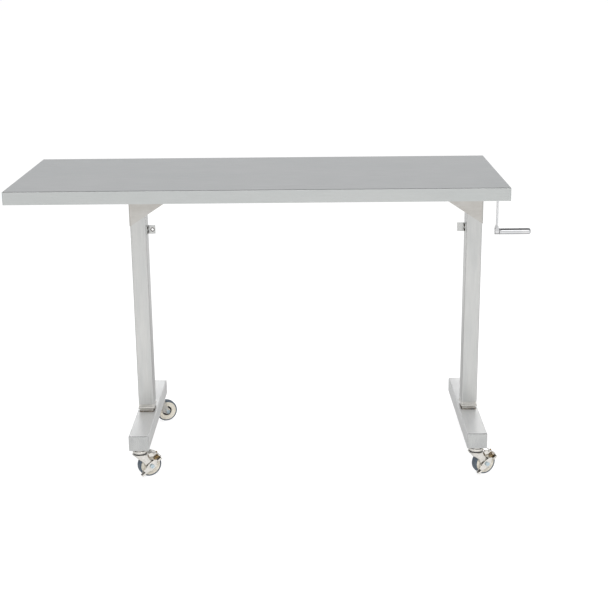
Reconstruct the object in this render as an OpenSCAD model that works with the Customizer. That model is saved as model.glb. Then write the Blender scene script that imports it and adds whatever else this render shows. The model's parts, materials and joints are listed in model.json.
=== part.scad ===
// Height-adjustable instrument table on casters. A top folded from one stainless sheet stands on
// two telescopic columns, and a hand crank works a fluid pump that lifts both columns together.
// Millimetres, Z up. The floor is Z = 0, X runs along the top towards the crank, Y to the rear.
// X = 0 and Y = 0 are the middle of the whole object, with the grip of the crank counted in.

/* [Table top] */
// Length of the top
top_l = 1524; // [1300:10:1800]
// Depth of the top
top_w = 610; // [560:5:760]
// Height of the work surface with the lift fully down
top_z = 950; // [900:5:1050]
// Thickness of the folded sheet
sheet_t = 1.6; // [1:0.1:2.4]
// Height of the apron that is folded down all round
apron_h = 40; // [34:1:60]
// Outside radius of the folds
fold_r = 3; // [2.6:0.1:5]
// Depth of the lip that is turned in at the foot of the apron
lip_w = 14; // [8:1:20]

/* [Under frame] */
// Distance of each stiffening channel from the middle of the top
channel_y = 130; // [110:5:160]
// Width of the flat crown of a channel
crown_w = 34; // [28:1:45]
// Width of each flange that welds a channel to the top
flange_w = 14; // [10:1:20]
// Depth of a channel
channel_h = 24; // [20:1:30]
// Wall of a channel
channel_t = 1.6; // [1:0.1:2.5]
// Gap between the end of a channel and the end apron
channel_end = 20; // [16:1:60]
// Thickness of the plate that joins a column to both channels
plate_t = 5; // [4:0.5:8]
// Reach of that plate from the column's middle towards the middle of the table
plate_in = 178; // [175:1:220]
// Reach of that plate from the column's middle the other way
plate_out = 58; // [50:1:60]
// Distance of the plate bolts from the ends of the plate
bolt_edge = 22; // [16:1:24]
// Diameter of the bolts of the plates and the pump
bolt_d = 8; // [6:1:8]

/* [Columns] */
// Distance of the left column from the left end of the top
left_inset = 368; // [300:1:420]
// Distance of the right column from the right end of the top
right_inset = 73; // [67:1:98]
// Place of both columns from the front-to-back middle
col_y = -24; // [-40:1:-10]
// Width of the outer tube
col_w = 51; // [49:1:56]
// Depth of the outer tube
col_d = 60; // [58:1:66]
// Wall of the outer tube
col_wall = 2; // [1.5:0.1:2.2]
// Corner radius of the outer tube
col_r = 4; // [3:0.5:6]
// Width of the inner tube
inner_w = 44.5; // [43:0.1:44.6]
// Depth of the inner tube
inner_d = 53; // [52:0.1:53.4]
// Wall of the inner tube
inner_wall = 2; // [1.5:0.1:2.5]
// Corner radius of the inner tube
inner_r = 3; // [2.6:0.1:4]
// Distance of the inner tube's upper end below the top, with the lift fully down
inner_drop = 90; // [80:1:140]
// Height of the lower end of the outer tube above the foot
outer_gap = 28; // [24:1:40]
// Gap between the guide collar and the foot
collar_gap = 12; // [6:1:14]
// Thickness of the collar's round lip
collar_lip = 6.5; // [5:0.5:9]
// Amount by which the collar stands out round the outer tube
collar_proud = 1.6; // [0.8:0.1:3]
// Length of the collar's sleeve inside the outer tube
collar_sleeve = 32; // [20:1:50]
// Running clearance between the inner tube and its guides
guide_gap = 0.3; // [0.2:0.05:0.5]
// Length of the glide on top of the inner tube
glide_l = 40; // [30:1:60]
// Thickness of the glide's rim on the end of the inner tube
glide_rim = 4; // [3:0.5:6]

/* [Gussets and brackets] */
// Length of a gusset along the top
gusset_l = 193; // [150:1:195]
// Height of a gusset
gusset_h = 132; // [100:1:150]
// Thickness of a gusset
gusset_t = 2; // [1.5:0.5:4]
// Height of the blunt inner end of a gusset
gusset_nose = 6; // [3:1:12]
// Reach of a bracket from its column
bracket_l = 27; // [26:1:40]
// Height of a bracket
bracket_h = 28; // [24:1:40]
// Thickness of a bracket
bracket_t = 3; // [2:0.5:4]
// Depth of the bracket's flange on the column
bracket_d = 23; // [22:1:40]
// Distance of that flange from the front of its column
bracket_back = 4; // [2:0.5:8]
// Height of the middle of a bracket below the top
bracket_drop = 178.5; // [160:0.5:220]
// Diameter of the hole in the left bracket
bracket_hole = 10; // [6:0.5:12]
// Distance of that hole from the column
bracket_hole_x = 18; // [15:0.5:19]
// Diameter of the bracket screws
screw_d = 5; // [4:0.5:6]
// Distance between the two screws of a bracket
screw_pitch = 15; // [14:0.5:16]

/* [Feet] */
// Length of a foot
foot_l = 540; // [460:5:600]
// Width of the foot tube
foot_w = 64; // [62:1:76]
// Height of the foot tube
foot_h = 51; // [45:1:60]
// Wall of the foot tube
foot_wall = 2.5; // [2:0.1:3.5]
// Corner radius of the foot tube
foot_r = 4; // [3:0.5:6]
// Thickness of the plates that close the ends of a foot
cap_t = 2.5; // [2:0.5:4]
// Distance of a caster's stem from the end of its foot
stem_inset = 24; // [22:1:50]

/* [Casters] */
// Height of a caster, from the floor to the foot
caster_h = 98; // [97:0.5:110]
// Diameter of a wheel
wheel_d = 76; // [70:1:76]
// Width of the tyre
tyre_w = 25; // [22:0.5:26]
// Thickness of the tyre
tyre_t = 5; // [4:0.5:7]
// Rounding of the tyre's shoulders
tyre_r = 3; // [1.5:0.5:3.5]
// Distance of the axle from the swivel axis
trail = 30; // [26:0.5:32]
// Gap between the legs of a fork
fork_gap = 29; // [28:0.5:31]
// Wall of a fork
fork_t = 2.5; // [2:0.1:3]
// Diameter of the ball race on a fork
race_d = 50; // [46:1:50]
// Height of the cup of the ball race
race_h = 5.2; // [4.5:0.1:6]
// Radius of a fork's leg round the axle
leg_r = 9; // [8:0.5:10]
// Reach of a leg's leading edge ahead of the axle
leg_toe = 18; // [14:0.5:20]
// Height of the seat that stands out round the axle on each leg
seat_t = 2.8; // [2.7:0.1:3.2]
// Diameter of the axle bolt
axle_d = 8; // [6:0.5:9]
// Diameter of the threaded stem
stem_d = 12; // [10:1:14]
// Length of the stem above the bottom of the foot
stem_l = 22; // [16:1:26]
// Diameter of the rivet that the fork turns on
king_d = 10; // [8:0.5:12]
// Direction in which the front left caster trails, in degrees from +X
front_left_turn = 30; // [0:1:359]
// Direction in which the front right caster trails
front_right_turn = 26; // [0:1:359]
// Direction in which the rear left caster trails
rear_left_turn = 25; // [0:1:359]
// Direction in which the rear right caster trails
rear_right_turn = 5; // [0:1:359]

/* [Brakes] */
// Thickness of a brake lever
lever_t = 2; // [1.5:0.1:3]
// Reach of the lever's lower pedal from the axle
lever_low = 45; // [43:0.5:48]
// Reach of the lever's upper pedal from the axle
lever_high = 40; // [38:0.5:44]
// Width of a pedal
pedal_w = 15; // [12:0.5:18]
// Depth of a pedal, out from the lever
pedal_d = 12; // [8:0.5:16]
// Slope of the lever at rest
lever_slope = 30; // [24:1:32]
// Gap between the brake shoe and the tread at rest
shoe_gap = 1.2; // [1.1:0.1:1.6]
// Length of the brake shoe round the tread, in degrees
shoe_arc = 16; // [12:1:18]

/* [Crank] */
// Height of the crank's axis below the top
crank_drop = 60; // [56:1:62]
// Distance between the crank's axis and the grip's axis
crank_r = 149; // [110:1:180]
// Gap between the end apron and the crank's arm
crank_gap = 14; // [8:1:24]
// Thickness of the arm
arm_t = 7; // [4:0.5:8]
// Width of the arm
arm_w = 20; // [18:1:26]
// Diameter of the shaft
shaft_d = 14; // [12:0.5:16]
// Diameter of the grip
grip_d = 20.5; // [18:0.5:28]
// Length of the grip
grip_l = 103; // [80:1:130]
// Diameter of the grip's pin
pin_d = 8; // [6:0.5:9]

/* [Pump and cylinders] */
// Length of the pump's body
pump_l = 76; // [66:1:78]
// Width of the pump's body
pump_w = 50; // [46:1:60]
// Height of the pump's body
pump_h = 58; // [52:1:66]
// Length of each ear that the pump hangs by
ear_l = 18; // [17:1:20]
// Thickness of those ears
ear_t = 5; // [4:0.5:8]
// Gap between the pump and the column beside it
pump_gap = 10; // [4:1:12]
// Outside diameter of a lift cylinder
cyl_d = 32; // [30:1:34]
// Bore of a lift cylinder
cyl_bore = 25.2; // [22:0.1:26]
// Length of a lift cylinder
cyl_l = 372; // [366:1:420]
// Thickness of a cylinder's head and of its gland
head_t = 12; // [8:1:16]
// Diameter of a piston rod
rod_d = 14; // [10:0.5:16]
// Length of a piston
piston_l = 22; // [16:1:26]
// Lift of the table
stroke = 300; // [200:5:305]
// Outside diameter of the fluid lines
line_d = 6; // [4:0.5:7]
// Radius of the bends of the fluid lines
line_bend = 10; // [8:0.5:11]
// Number of clips that hold the long line
clip_n = 5; // [3:1:9]

/* [Hidden] */
$fn = 64;
// Fits: a shaft in its bearing, a fastener in its hole, and faces that pass each other
run_gap = 0.05;
hole_gap = 0.25;
face_gap = 0.3;
eps = 1;
hull_fn = 32;
// Overall box, with the grip at its right end
crank_reach = top_l / 2 + crank_gap + arm_t + face_gap + grip_l;
top_cx = (top_l / 2 - crank_reach) / 2;
// Heights under the top
sheet_z = top_z - sheet_t;
crown_z = sheet_z - channel_h;
plate_z = crown_z - plate_t;
plate_w = 2 * (channel_y + crown_w / 2);
// Heights from the floor up
foot_z = caster_h + foot_h;
outer_z = foot_z + outer_gap;
collar_z = foot_z + collar_gap;
inner_top = top_z - inner_drop;
bracket_z = top_z - bracket_drop;
// Crank line, behind the columns and clear of the rear gussets
crank_y = col_y + col_d / 2 + gusset_t + 2 + pump_w / 2;
crank_z = top_z - crank_drop;
arm_x = top_cx + top_l / 2 + crank_gap;
grip_z = crank_z - crank_r;
hub_d = arm_w + 6;
hub_l = 8;
hanger_t = 5;
hanger_boss = 12;
hanger_w = 40;
nose_d = 10;
// Grip pin: depth, thickness and lip of its head in the grip, and thickness of the arm's eye
pin_sink = 2;
pin_head_t = 3;
pin_lip = 2;
eye_t = 2;
// Pump and lines
right_x = top_cx + top_l / 2 - right_inset;
pump_x1 = right_x - col_w / 2 - pump_gap - ear_l;
pump_x0 = pump_x1 - pump_l;
pump_z = plate_z - pump_h;
port_left_x = pump_x0 + pump_l * 0.28;
port_right_x = pump_x1 - pump_l * 0.28;
line_z = (crown_z + sheet_z) / 2;
head_d = min(col_w, col_d) - 2 * col_wall - 3;
bore_top = plate_z - head_t;
piston_top = bore_top - face_gap;
gland_z = plate_z - cyl_l;
rod_base_t = 8;
rod_base_d = min(inner_w, inner_d) - 2 * inner_wall - 1;
// Casters
wheel_r = wheel_d / 2;
crown_gap = 4;
fork_top = wheel_d + crown_gap;
fork_plate = 3;
cup_top = fork_top + fork_plate + race_h;
leg_y = fork_gap / 2 + fork_t;
seat_y = leg_y + seat_t;
bolt_head_h = 5.4;
bolt_head_d = 14.5;
hub_w = fork_gap - 2 * face_gap;
// Hood and brake shoe, as angles round the axle above the level
hood_low = 33;
hood_high = 97;
shoe_mid = 54;
shoe_pin_d = 5;
rim_r = wheel_r - tyre_t;

// Places: side is -1 for the left column and 1 for the right, end is -1 front and 1 rear
function column_x(side) = side < 0 ? top_cx - top_l / 2 + left_inset : right_x;
function caster_y(end) = end * (foot_l / 2 - stem_inset);

// Puts the origin on a column's axis, with local +X towards the middle of the table
module at_column(side) {
  translate([column_x(side), col_y, 0])
    mirror([side > 0 ? 1 : 0, 0, 0])
      children();
}

// Puts the origin on a caster's swivel axis, with local +X along its trail
module at_caster(side, end, turn) {
  translate([column_x(side), caster_y(end), 0])
    rotate([0, 0, turn])
      children();
}

// Rectangle with round corners, centred
module round_rect(w, d, r) {
  union() {
    square([w - 2 * r, d], center = true);
    square([w, d - 2 * r], center = true);
    for (sx = [-1, 1])
      for (sy = [-1, 1])
        translate([sx * (w / 2 - r), sy * (d / 2 - r)])
          circle(r);
  }
}

// Rectangular tube standing on Z = 0
module box_tube(w, d, r, wall, h) {
  linear_extrude(h)
    difference() {
      round_rect(w, d, r);
      round_rect(w - 2 * wall, d - 2 * wall, max(r - wall, 0.6));
    }
}

// Rod along X, Y or Z from a point
module rod_x(d, l) {
  rotate([0, 90, 0])
    cylinder(d = d, h = l);
}

module rod_y(d, l) {
  rotate([-90, 0, 0])
    cylinder(d = d, h = l);
}

// Hexagon head or nut standing on Z = 0, across flats d * 1.6
module hexagon(d, h) {
  cylinder(d = d * 1.6 / cos(30), h = h, $fn = 6);
}

// Outline of the folded top seen along a fold: straight below and rounded at both upper corners
module fold_outline(w, h, r) {
  union() {
    translate([-w / 2, 0])
      square([w, h - r]);
    translate([-w / 2 + r, h - 2 * r])
      square([w - 2 * r, 2 * r]);
    for (s = [-1, 1])
      translate([s * (w / 2 - r), h - r])
        circle(r);
  }
}

// Block with its upper edges and its upright edges rounded
module folded_block(l, w, h, r) {
  intersection() {
    rotate([90, 0, 90])
      translate([0, 0, -l / 2])
        linear_extrude(l)
          fold_outline(w, h, r);
    rotate([90, 0, 0])
      translate([0, 0, -w / 2])
        linear_extrude(w)
          fold_outline(l, h, r);
    linear_extrude(h)
      round_rect(l, w, r);
  }
}

module table_top() {
  color([0.74, 0.75, 0.75])
    translate([top_cx, 0, top_z - apron_h])
      difference() {
        folded_block(top_l, top_w, apron_h, fold_r);
        translate([0, 0, sheet_t])
          folded_block(top_l - 2 * sheet_t, top_w - 2 * sheet_t, apron_h - 2 * sheet_t,
                       fold_r - sheet_t);
        translate([0, 0, -eps])
          linear_extrude(sheet_t + 2 * eps)
            round_rect(top_l - 2 * lip_w, top_w - 2 * lip_w, fold_r);
      }
}

// Hat-shaped stiffener under the sheet, crown down, drilled for the plate bolts
module channel(y) {
  length = top_l - 2 * channel_end;
  color([0.66, 0.67, 0.67])
    difference() {
      translate([top_cx - length / 2, y, crown_z])
        rotate([90, 0, 90])
          linear_extrude(length)
            union() {
              translate([-crown_w / 2, 0])
                square([crown_w, channel_t]);
              for (s = [-1, 1]) {
                translate([s * (crown_w - channel_t) / 2 - channel_t / 2, 0])
                  square([channel_t, channel_h]);
                translate([s * (crown_w + flange_w) / 2 - flange_w / 2, channel_h - channel_t])
                  square([flange_w, channel_t]);
              }
            }
      for (side = [-1, 1])
        plate_bolt_holes(side, y);
    }
}

module front_channel() {
  channel(-channel_y);
}

module rear_channel() {
  channel(channel_y);
}

// Places of a plate's bolts along local X
function bolt_xs() = [-plate_out + bolt_edge, plate_in - bolt_edge];

module plate_bolt_holes(side, y) {
  at_column(side)
    for (x = bolt_xs())
      translate([x, y - col_y, plate_z - eps])
        cylinder(d = bolt_d + 2 * hole_gap, h = plate_t + channel_t + 2 * eps);
}

// Places of the pump's two bolts
function ear_xs() = [pump_x0 - ear_l / 2, pump_x1 + ear_l / 2];

module mount_plate(side) {
  color([0.62, 0.63, 0.64])
    difference() {
      at_column(side)
        translate([-plate_out, -plate_w / 2 - col_y, plate_z])
          cube([plate_in + plate_out, plate_w, plate_t]);
      for (y = [-channel_y, channel_y])
        plate_bolt_holes(side, y);
      at_column(side)
        translate([0, 0, plate_z - eps])
          cylinder(d = line_d + 2 * hole_gap, h = plate_t + 2 * eps);
      if (side > 0) {
        for (x = ear_xs())
          translate([x, crank_y, plate_z - eps])
            cylinder(d = bolt_d + 2 * hole_gap, h = plate_t + 2 * eps);
        for (x = [port_left_x, port_right_x])
          translate([x, crank_y, plate_z - eps])
            cylinder(d = line_d + 2 * hole_gap, h = plate_t + 2 * eps);
      }
    }
}

module left_mount_plate() {
  mount_plate(-1);
}

module right_mount_plate() {
  mount_plate(1);
}

// Bolt with its head below and its nut above, round a stack that starts at Z = 0
module bolt_and_nut(stack) {
  head_h = bolt_d * 0.65;
  union() {
    translate([0, 0, -head_h])
      hexagon(bolt_d, head_h);
    translate([0, 0, -head_h / 2])
      cylinder(d = bolt_d, h = head_h / 2 + stack + bolt_d);
    translate([0, 0, stack])
      hexagon(bolt_d, bolt_d * 0.8);
  }
}

module mount_bolts() {
  color([0.78, 0.8, 0.82]) {
    for (side = [-1, 1])
      at_column(side)
        for (x = bolt_xs())
          for (y = [-channel_y, channel_y])
            translate([x, y - col_y, plate_z])
              bolt_and_nut(plate_t + channel_t);
    for (x = ear_xs())
      translate([x, crank_y, plate_z - ear_t])
        bolt_and_nut(ear_t + plate_t);
  }
}

module outer_column(side) {
  color([0.8, 0.81, 0.81])
    difference() {
      at_column(side)
        translate([0, 0, outer_z])
          box_tube(col_w, col_d, col_r, col_wall, plate_z - outer_z);
      bracket_screw_holes(side);
    }
}

module left_outer_column() {
  outer_column(-1);
}

module right_outer_column() {
  outer_column(1);
}

// Folded gusset: a web up the outer side of the column and a triangular cheek front and rear
module gusset(side) {
  r = col_r + gusset_t;
  outer_x = -col_w / 2 - gusset_t;
  width = col_d + 2 * gusset_t;
  color([0.74, 0.73, 0.71])
    at_column(side)
      intersection() {
        translate([0, 0, plate_z - gusset_h])
          linear_extrude(gusset_h)
            difference() {
              union() {
                translate([outer_x + r, -width / 2])
                  square([gusset_l - r, width]);
                translate([outer_x, -width / 2 + r])
                  square([gusset_l, width - 2 * r]);
                for (s = [-1, 1])
                  translate([outer_x + r, s * (width / 2 - r)])
                    circle(r);
              }
              round_rect(col_w, col_d, col_r);
              translate([0, -col_d / 2])
                square([gusset_l, col_d]);
            }
        translate([outer_x, width / 2 + eps, plate_z - gusset_h])
          rotate([90, 0, 0])
            linear_extrude(width + 2 * eps)
              polygon([[-eps, 0], [gusset_t, 0], [gusset_l, gusset_h - gusset_nose],
                       [gusset_l, gusset_h], [-eps, gusset_h]]);
      }
}

module left_gusset() {
  gusset(-1);
}

module right_gusset() {
  gusset(1);
}

// Place of a bracket's two screws, front to back from the column's axis
function screw_y() = -col_d / 2 + bracket_back + (bracket_d - bracket_t) / 2;

module bracket_screw_holes(side) {
  at_column(side)
    for (s = [-1, 1])
      translate([col_w / 2 - 2 * col_wall, screw_y(), bracket_z + s * screw_pitch / 2])
        rod_x(screw_d + 2 * hole_gap, 2 * col_wall + bracket_t + eps);
}

// Angle bracket on the inner side of a column: a flange screwed on, and a plate across its rear.
// Only the left plate has the round hole.
module bracket(side) {
  y0 = -col_d / 2 + bracket_back;
  z0 = bracket_z - bracket_h / 2;
  color([0.78, 0.79, 0.79])
    difference() {
      at_column(side)
        translate([col_w / 2, y0, z0])
          difference() {
            cube([bracket_l, bracket_d, bracket_h]);
            translate([bracket_t, -eps, -eps])
              cube([bracket_l, bracket_d - bracket_t + eps, bracket_h + 2 * eps]);
            if (side < 0)
              translate([bracket_hole_x, bracket_d - bracket_t - eps, bracket_h / 2])
                rod_y(bracket_hole, bracket_t + 2 * eps);
          }
      bracket_screw_holes(side);
    }
}

module left_bracket() {
  bracket(-1);
}

module right_bracket() {
  bracket(1);
}

module bracket_screws() {
  color([0.45, 0.45, 0.46])
    for (side = [-1, 1])
      at_column(side)
        for (s = [-1, 1])
          translate([0, screw_y(), bracket_z + s * screw_pitch / 2])
            union() {
              translate([col_w / 2 - col_wall, 0, 0])
                rod_x(screw_d, col_wall + bracket_t + eps);
              translate([col_w / 2 + bracket_t, 0, 0])
                rod_x(screw_d * 1.8, screw_d * 0.5);
            }
}

// Guide collar: a round lip below the outer tube, a neck, and a sleeve up inside the tube
module collar(side) {
  neck = outer_z - collar_z - collar_lip;
  lip_r = collar_lip / 2;
  lip_x = col_w + 2 * collar_proud;
  lip_y = col_d + 2 * collar_proud;
  color([0.7, 0.71, 0.72])
    at_column(side)
      difference() {
        union() {
          translate([0, 0, collar_z])
            intersection() {
              rotate([90, 0, 90])
                translate([0, lip_r, -lip_x / 2])
                  linear_extrude(lip_x)
                    round_rect(lip_y, collar_lip, lip_r - 0.2);
              rotate([90, 0, 0])
                translate([0, lip_r, -lip_y / 2])
                  linear_extrude(lip_y)
                    round_rect(lip_x, collar_lip, lip_r - 0.2);
            }
          translate([0, 0, collar_z + lip_r])
            linear_extrude(lip_r + neck)
              round_rect(col_w - 1, col_d - 1, col_r);
          translate([0, 0, collar_z + lip_r])
            linear_extrude(lip_r + neck + collar_sleeve)
              round_rect(col_w - 2 * col_wall, col_d - 2 * col_wall, max(col_r - col_wall, 0.6));
        }
        translate([0, 0, collar_z - eps])
          linear_extrude(collar_lip + neck + collar_sleeve + 2 * eps)
            round_rect(inner_w + 2 * guide_gap, inner_d + 2 * guide_gap, inner_r);
      }
}

module left_collar() {
  collar(-1);
}

module right_collar() {
  collar(1);
}

// Lift cylinder: head against the mount plate, plain barrel, gland with the rod's bore
module cylinder_body(side) {
  color([0.3, 0.31, 0.33])
    at_column(side)
      difference() {
        union() {
          translate([0, 0, bore_top])
            cylinder(d = head_d, h = head_t);
          translate([0, 0, gland_z])
            cylinder(d = cyl_d, h = cyl_l);
        }
        translate([0, 0, gland_z + head_t])
          cylinder(d = cyl_bore, h = bore_top - gland_z - head_t);
        translate([0, 0, gland_z - eps])
          cylinder(d = rod_d + 2 * run_gap, h = head_t + 2 * eps);
      }
}

module left_cylinder() {
  cylinder_body(-1);
}

module right_cylinder() {
  cylinder_body(1);
}

// Cast pump body with two ears, a gear case, a bearing boss for the shaft and a level plug
module pump_housing() {
  boss_d = shaft_d + 16;
  boss_l = 8;
  end_cap_t = 4;
  rib_t = 4;
  rib_h = 3;
  color([0.5, 0.51, 0.53])
    difference() {
      union() {
        translate([pump_x0, crank_y - pump_w / 2, pump_z + pump_w / 2])
          cube([pump_l, pump_w, pump_h - pump_w / 2]);
        translate([pump_x0, crank_y, pump_z + pump_w / 2])
          rod_x(pump_w, pump_l);
        translate([pump_x0 - ear_l, crank_y - pump_w * 0.35, plate_z - ear_t])
          cube([pump_l + 2 * ear_l, pump_w * 0.7, ear_t]);
        translate([pump_x1, crank_y, crank_z])
          rod_x(boss_d, boss_l);
        translate([pump_x0 - end_cap_t, crank_y, pump_z + pump_w / 2])
          rod_x(pump_w * 0.7, end_cap_t + eps);
        for (s = [-1, 1])
          translate([(pump_x0 + pump_x1) / 2 + s * pump_l / 4 - rib_t / 2, crank_y + pump_w / 2,
                     pump_z + pump_w / 2])
            cube([rib_t, rib_h, pump_h - pump_w / 2 - ear_t]);
      }
      translate([pump_x1 - pump_l / 3, crank_y, crank_z])
        rod_x(shaft_d + 2 * run_gap, pump_l / 3 + boss_l + eps);
      for (x = ear_xs())
        translate([x, crank_y, plate_z - ear_t - eps])
          cylinder(d = bolt_d + 2 * hole_gap, h = ear_t + 2 * eps);
    }
}

// Plate that hangs from the right mount plate and carries the shaft beside the end apron
module shaft_hanger() {
  x1 = right_x + plate_out;
  color([0.62, 0.63, 0.64])
    difference() {
      union() {
        translate([x1 - hanger_t, crank_y - hanger_w / 2, crank_z])
          cube([hanger_t, hanger_w, plate_z - crank_z]);
        translate([x1 - hanger_t, crank_y, crank_z])
          rod_x(hanger_w, hanger_t);
        translate([x1 - hanger_boss, crank_y, crank_z])
          rod_x(shaft_d + 12, hanger_boss);
      }
      translate([x1 - hanger_boss - eps, crank_y, crank_z])
        rod_x(shaft_d + 2 * run_gap, hanger_boss + 2 * eps);
    }
}

// One quarter bend of a line: it comes in along unit vector a and leaves along unit vector b
module line_bend_piece(corner, a, b) {
  z = cross(a, b);
  o = corner + line_bend * (b - a);
  multmatrix([[-b[0], a[0], z[0], o[0]], [-b[1], a[1], z[1], o[1]], [-b[2], a[2], z[2], o[2]]])
    rotate_extrude(angle = 90)
      translate([line_bend, 0])
        circle(d = line_d);
}

// One straight run of a line, from point p to point q along an axis
module line_run(p, q) {
  w = (q - p) / norm(q - p);
  u = [w[1], w[2], w[0]];
  v = cross(w, u);
  multmatrix([[u[0], v[0], w[0], p[0]], [u[1], v[1], w[1], p[1]], [u[2], v[2], w[2], p[2]]])
    cylinder(d = line_d, h = norm(q - p));
}

// Bent line through corner points: straight runs cut short by the bend radius, and the bends
module fluid_line(pts) {
  n = len(pts);
  dirs = [for (i = [0 : n - 2]) (pts[i + 1] - pts[i]) / norm(pts[i + 1] - pts[i])];
  color([0.72, 0.6, 0.35])
    union() {
      for (i = [0 : n - 2])
        line_run(pts[i] + (i > 0 ? line_bend : 0) * dirs[i],
                 pts[i + 1] - (i < n - 2 ? line_bend : 0) * dirs[i]);
      for (i = [1 : n - 2])
        line_bend_piece(pts[i], dirs[i - 1], dirs[i]);
    }
}

// From a pump port up through the plate, across to the columns' plane, along, and down to a head
function line_path(port_x, side) = [
  [port_x, crank_y, plate_z],
  [port_x, crank_y, line_z],
  [port_x, col_y, line_z],
  [column_x(side), col_y, line_z],
  [column_x(side), col_y, plate_z]
];

module left_fluid_line() {
  fluid_line(line_path(port_left_x, -1));
}

module right_fluid_line() {
  fluid_line(line_path(port_right_x, 1));
}

// Saddle clips between the long line and the sheet
module line_clips() {
  x0 = column_x(-1) + plate_in;
  x1 = right_x - plate_in;
  clip_l = 14;
  clip_w = line_d + 6;
  clip_wall = 1.5;
  color([0.15, 0.15, 0.16])
    for (i = [0 : clip_n - 1])
      translate([x0 + (x1 - x0) * (i + 0.5) / clip_n, col_y, line_z])
        difference() {
          translate([-clip_l / 2, -clip_w / 2, -line_d / 2 - clip_wall])
            cube([clip_l, clip_w, sheet_z - line_z + line_d / 2 + clip_wall]);
          translate([-clip_l / 2 - eps, 0, 0])
            rod_x(line_d + 2 * run_gap, clip_l + 2 * eps);
        }
}

module crank_shaft() {
  x0 = pump_x1 - pump_l / 3 + face_gap;
  color([0.75, 0.76, 0.78])
    union() {
      translate([x0, crank_y, crank_z])
        rod_x(shaft_d, arm_x - hub_l - x0);
      translate([arm_x - hub_l - eps, crank_y, crank_z])
        rod_x(nose_d, hub_l + eps + arm_t);
    }
}

// Flat bar with a hub at the shaft and an eye at the grip's pin
module crank_arm() {
  color([0.82, 0.83, 0.85])
    difference() {
      union() {
        translate([arm_x, crank_y, crank_z])
          rod_x(arm_w, arm_t);
        translate([arm_x - hub_l, crank_y, crank_z])
          rod_x(hub_d, hub_l + arm_t);
        translate([arm_x, crank_y - arm_w / 2, grip_z])
          cube([arm_t, arm_w, crank_r]);
        translate([arm_x, crank_y, grip_z])
          rod_x(arm_w, arm_t);
        translate([arm_x - eye_t, crank_y, grip_z])
          rod_x(arm_w * 0.8, eye_t + eps);
      }
      translate([arm_x - hub_l - eps, crank_y, crank_z])
        rod_x(nose_d + 2 * run_gap, hub_l + arm_t + 2 * eps);
      translate([arm_x - eye_t - eps, crank_y, grip_z])
        rod_x(pin_d + 2 * run_gap, arm_t + eye_t + 2 * eps);
    }
}

// Domed screw with a socket, over a washer that holds the arm on the shaft
module crank_screw() {
  washer_t = 1.5;
  dome_h = 4;
  socket_d = 5;
  socket_h = 2.5;
  color([0.7, 0.72, 0.74])
    translate([arm_x + arm_t, crank_y, crank_z])
      rotate([0, 90, 0])
        difference() {
          union() {
            cylinder(d = 1.8 * nose_d, h = washer_t);
            translate([0, 0, washer_t])
              cylinder(d = 1.2 * nose_d, h = dome_h);
          }
          translate([0, 0, washer_t + dome_h - socket_h])
            cylinder(d = socket_d, h = socket_h + eps, $fn = 6);
        }
}

// Shoulder pin riveted in the arm, with its head sunk in the end of the grip
module grip_pin() {
  x0 = arm_x - eye_t;
  x1 = arm_x + arm_t + face_gap + grip_l - pin_sink;
  color([0.7, 0.72, 0.74])
    translate([0, crank_y, grip_z])
      union() {
        translate([x0, 0, 0])
          rod_x(pin_d, x1 - x0);
        translate([x1 - pin_head_t, 0, 0])
          rod_x(pin_d + 2 * pin_lip, pin_head_t);
      }
}

// Turned grip: a round bar with a rounded outer end, bored for its pin
module crank_grip() {
  r = grip_d / 2;
  end_r = 3;
  sink = pin_sink + pin_head_t + face_gap;
  ring_x = 1;
  ring_w = 3;
  ring_proud = 0.4;
  color([0.86, 0.87, 0.88])
    translate([arm_x + arm_t + face_gap, crank_y, grip_z])
      rotate([0, 90, 0])
        rotate_extrude()
          difference() {
            union() {
              square([r, grip_l - end_r]);
              square([r - end_r, grip_l]);
              translate([r - end_r, grip_l - end_r])
                circle(end_r);
              translate([0, ring_x])
                square([r + ring_proud, ring_w]);
            }
            translate([-r, -eps])
              square([r + pin_d / 2 + run_gap, grip_l + 2 * eps]);
            translate([-r, grip_l - sink])
              square([r + pin_d / 2 + pin_lip + run_gap, sink + eps]);
          }
}

// Foot: closed rectangular tube with a threaded boss inside at each caster
module foot(side) {
  boss_d = stem_d + 12;
  boss_h = stem_l + 2;
  color([0.8, 0.81, 0.8])
    translate([column_x(side), 0, caster_h])
      difference() {
        union() {
          translate([0, foot_l / 2 - cap_t, foot_h / 2])
            rotate([90, 0, 0])
              box_tube(foot_w, foot_h, foot_r, foot_wall, foot_l - 2 * cap_t);
          for (end = [-1, 1])
            translate([0, caster_y(end), foot_wall / 2])
              cylinder(d = boss_d, h = boss_h);
        }
        for (end = [-1, 1])
          translate([0, caster_y(end), -eps])
            cylinder(d = stem_d + 2 * run_gap, h = boss_h + foot_wall + 2 * eps);
      }
}

module left_foot() {
  foot(-1);
}

module right_foot() {
  foot(1);
}

module foot_caps(side) {
  color([0.76, 0.77, 0.77])
    for (end = [-1, 1])
      translate([column_x(side), end * (foot_l / 2 - cap_t / 2) + cap_t / 2,
                 caster_h + foot_h / 2])
        rotate([90, 0, 0])
          linear_extrude(cap_t)
            round_rect(foot_w, foot_h, foot_r);
}

module left_foot_caps() {
  foot_caps(-1);
}

module right_foot_caps() {
  foot_caps(1);
}

module inner_column(side) {
  color([0.72, 0.73, 0.73])
    at_column(side)
      translate([0, 0, foot_z])
        box_tube(inner_w, inner_d, inner_r, inner_wall, inner_top - foot_z);
}

module left_inner_column() {
  inner_column(-1);
}

module right_inner_column() {
  inner_column(1);
}

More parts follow.
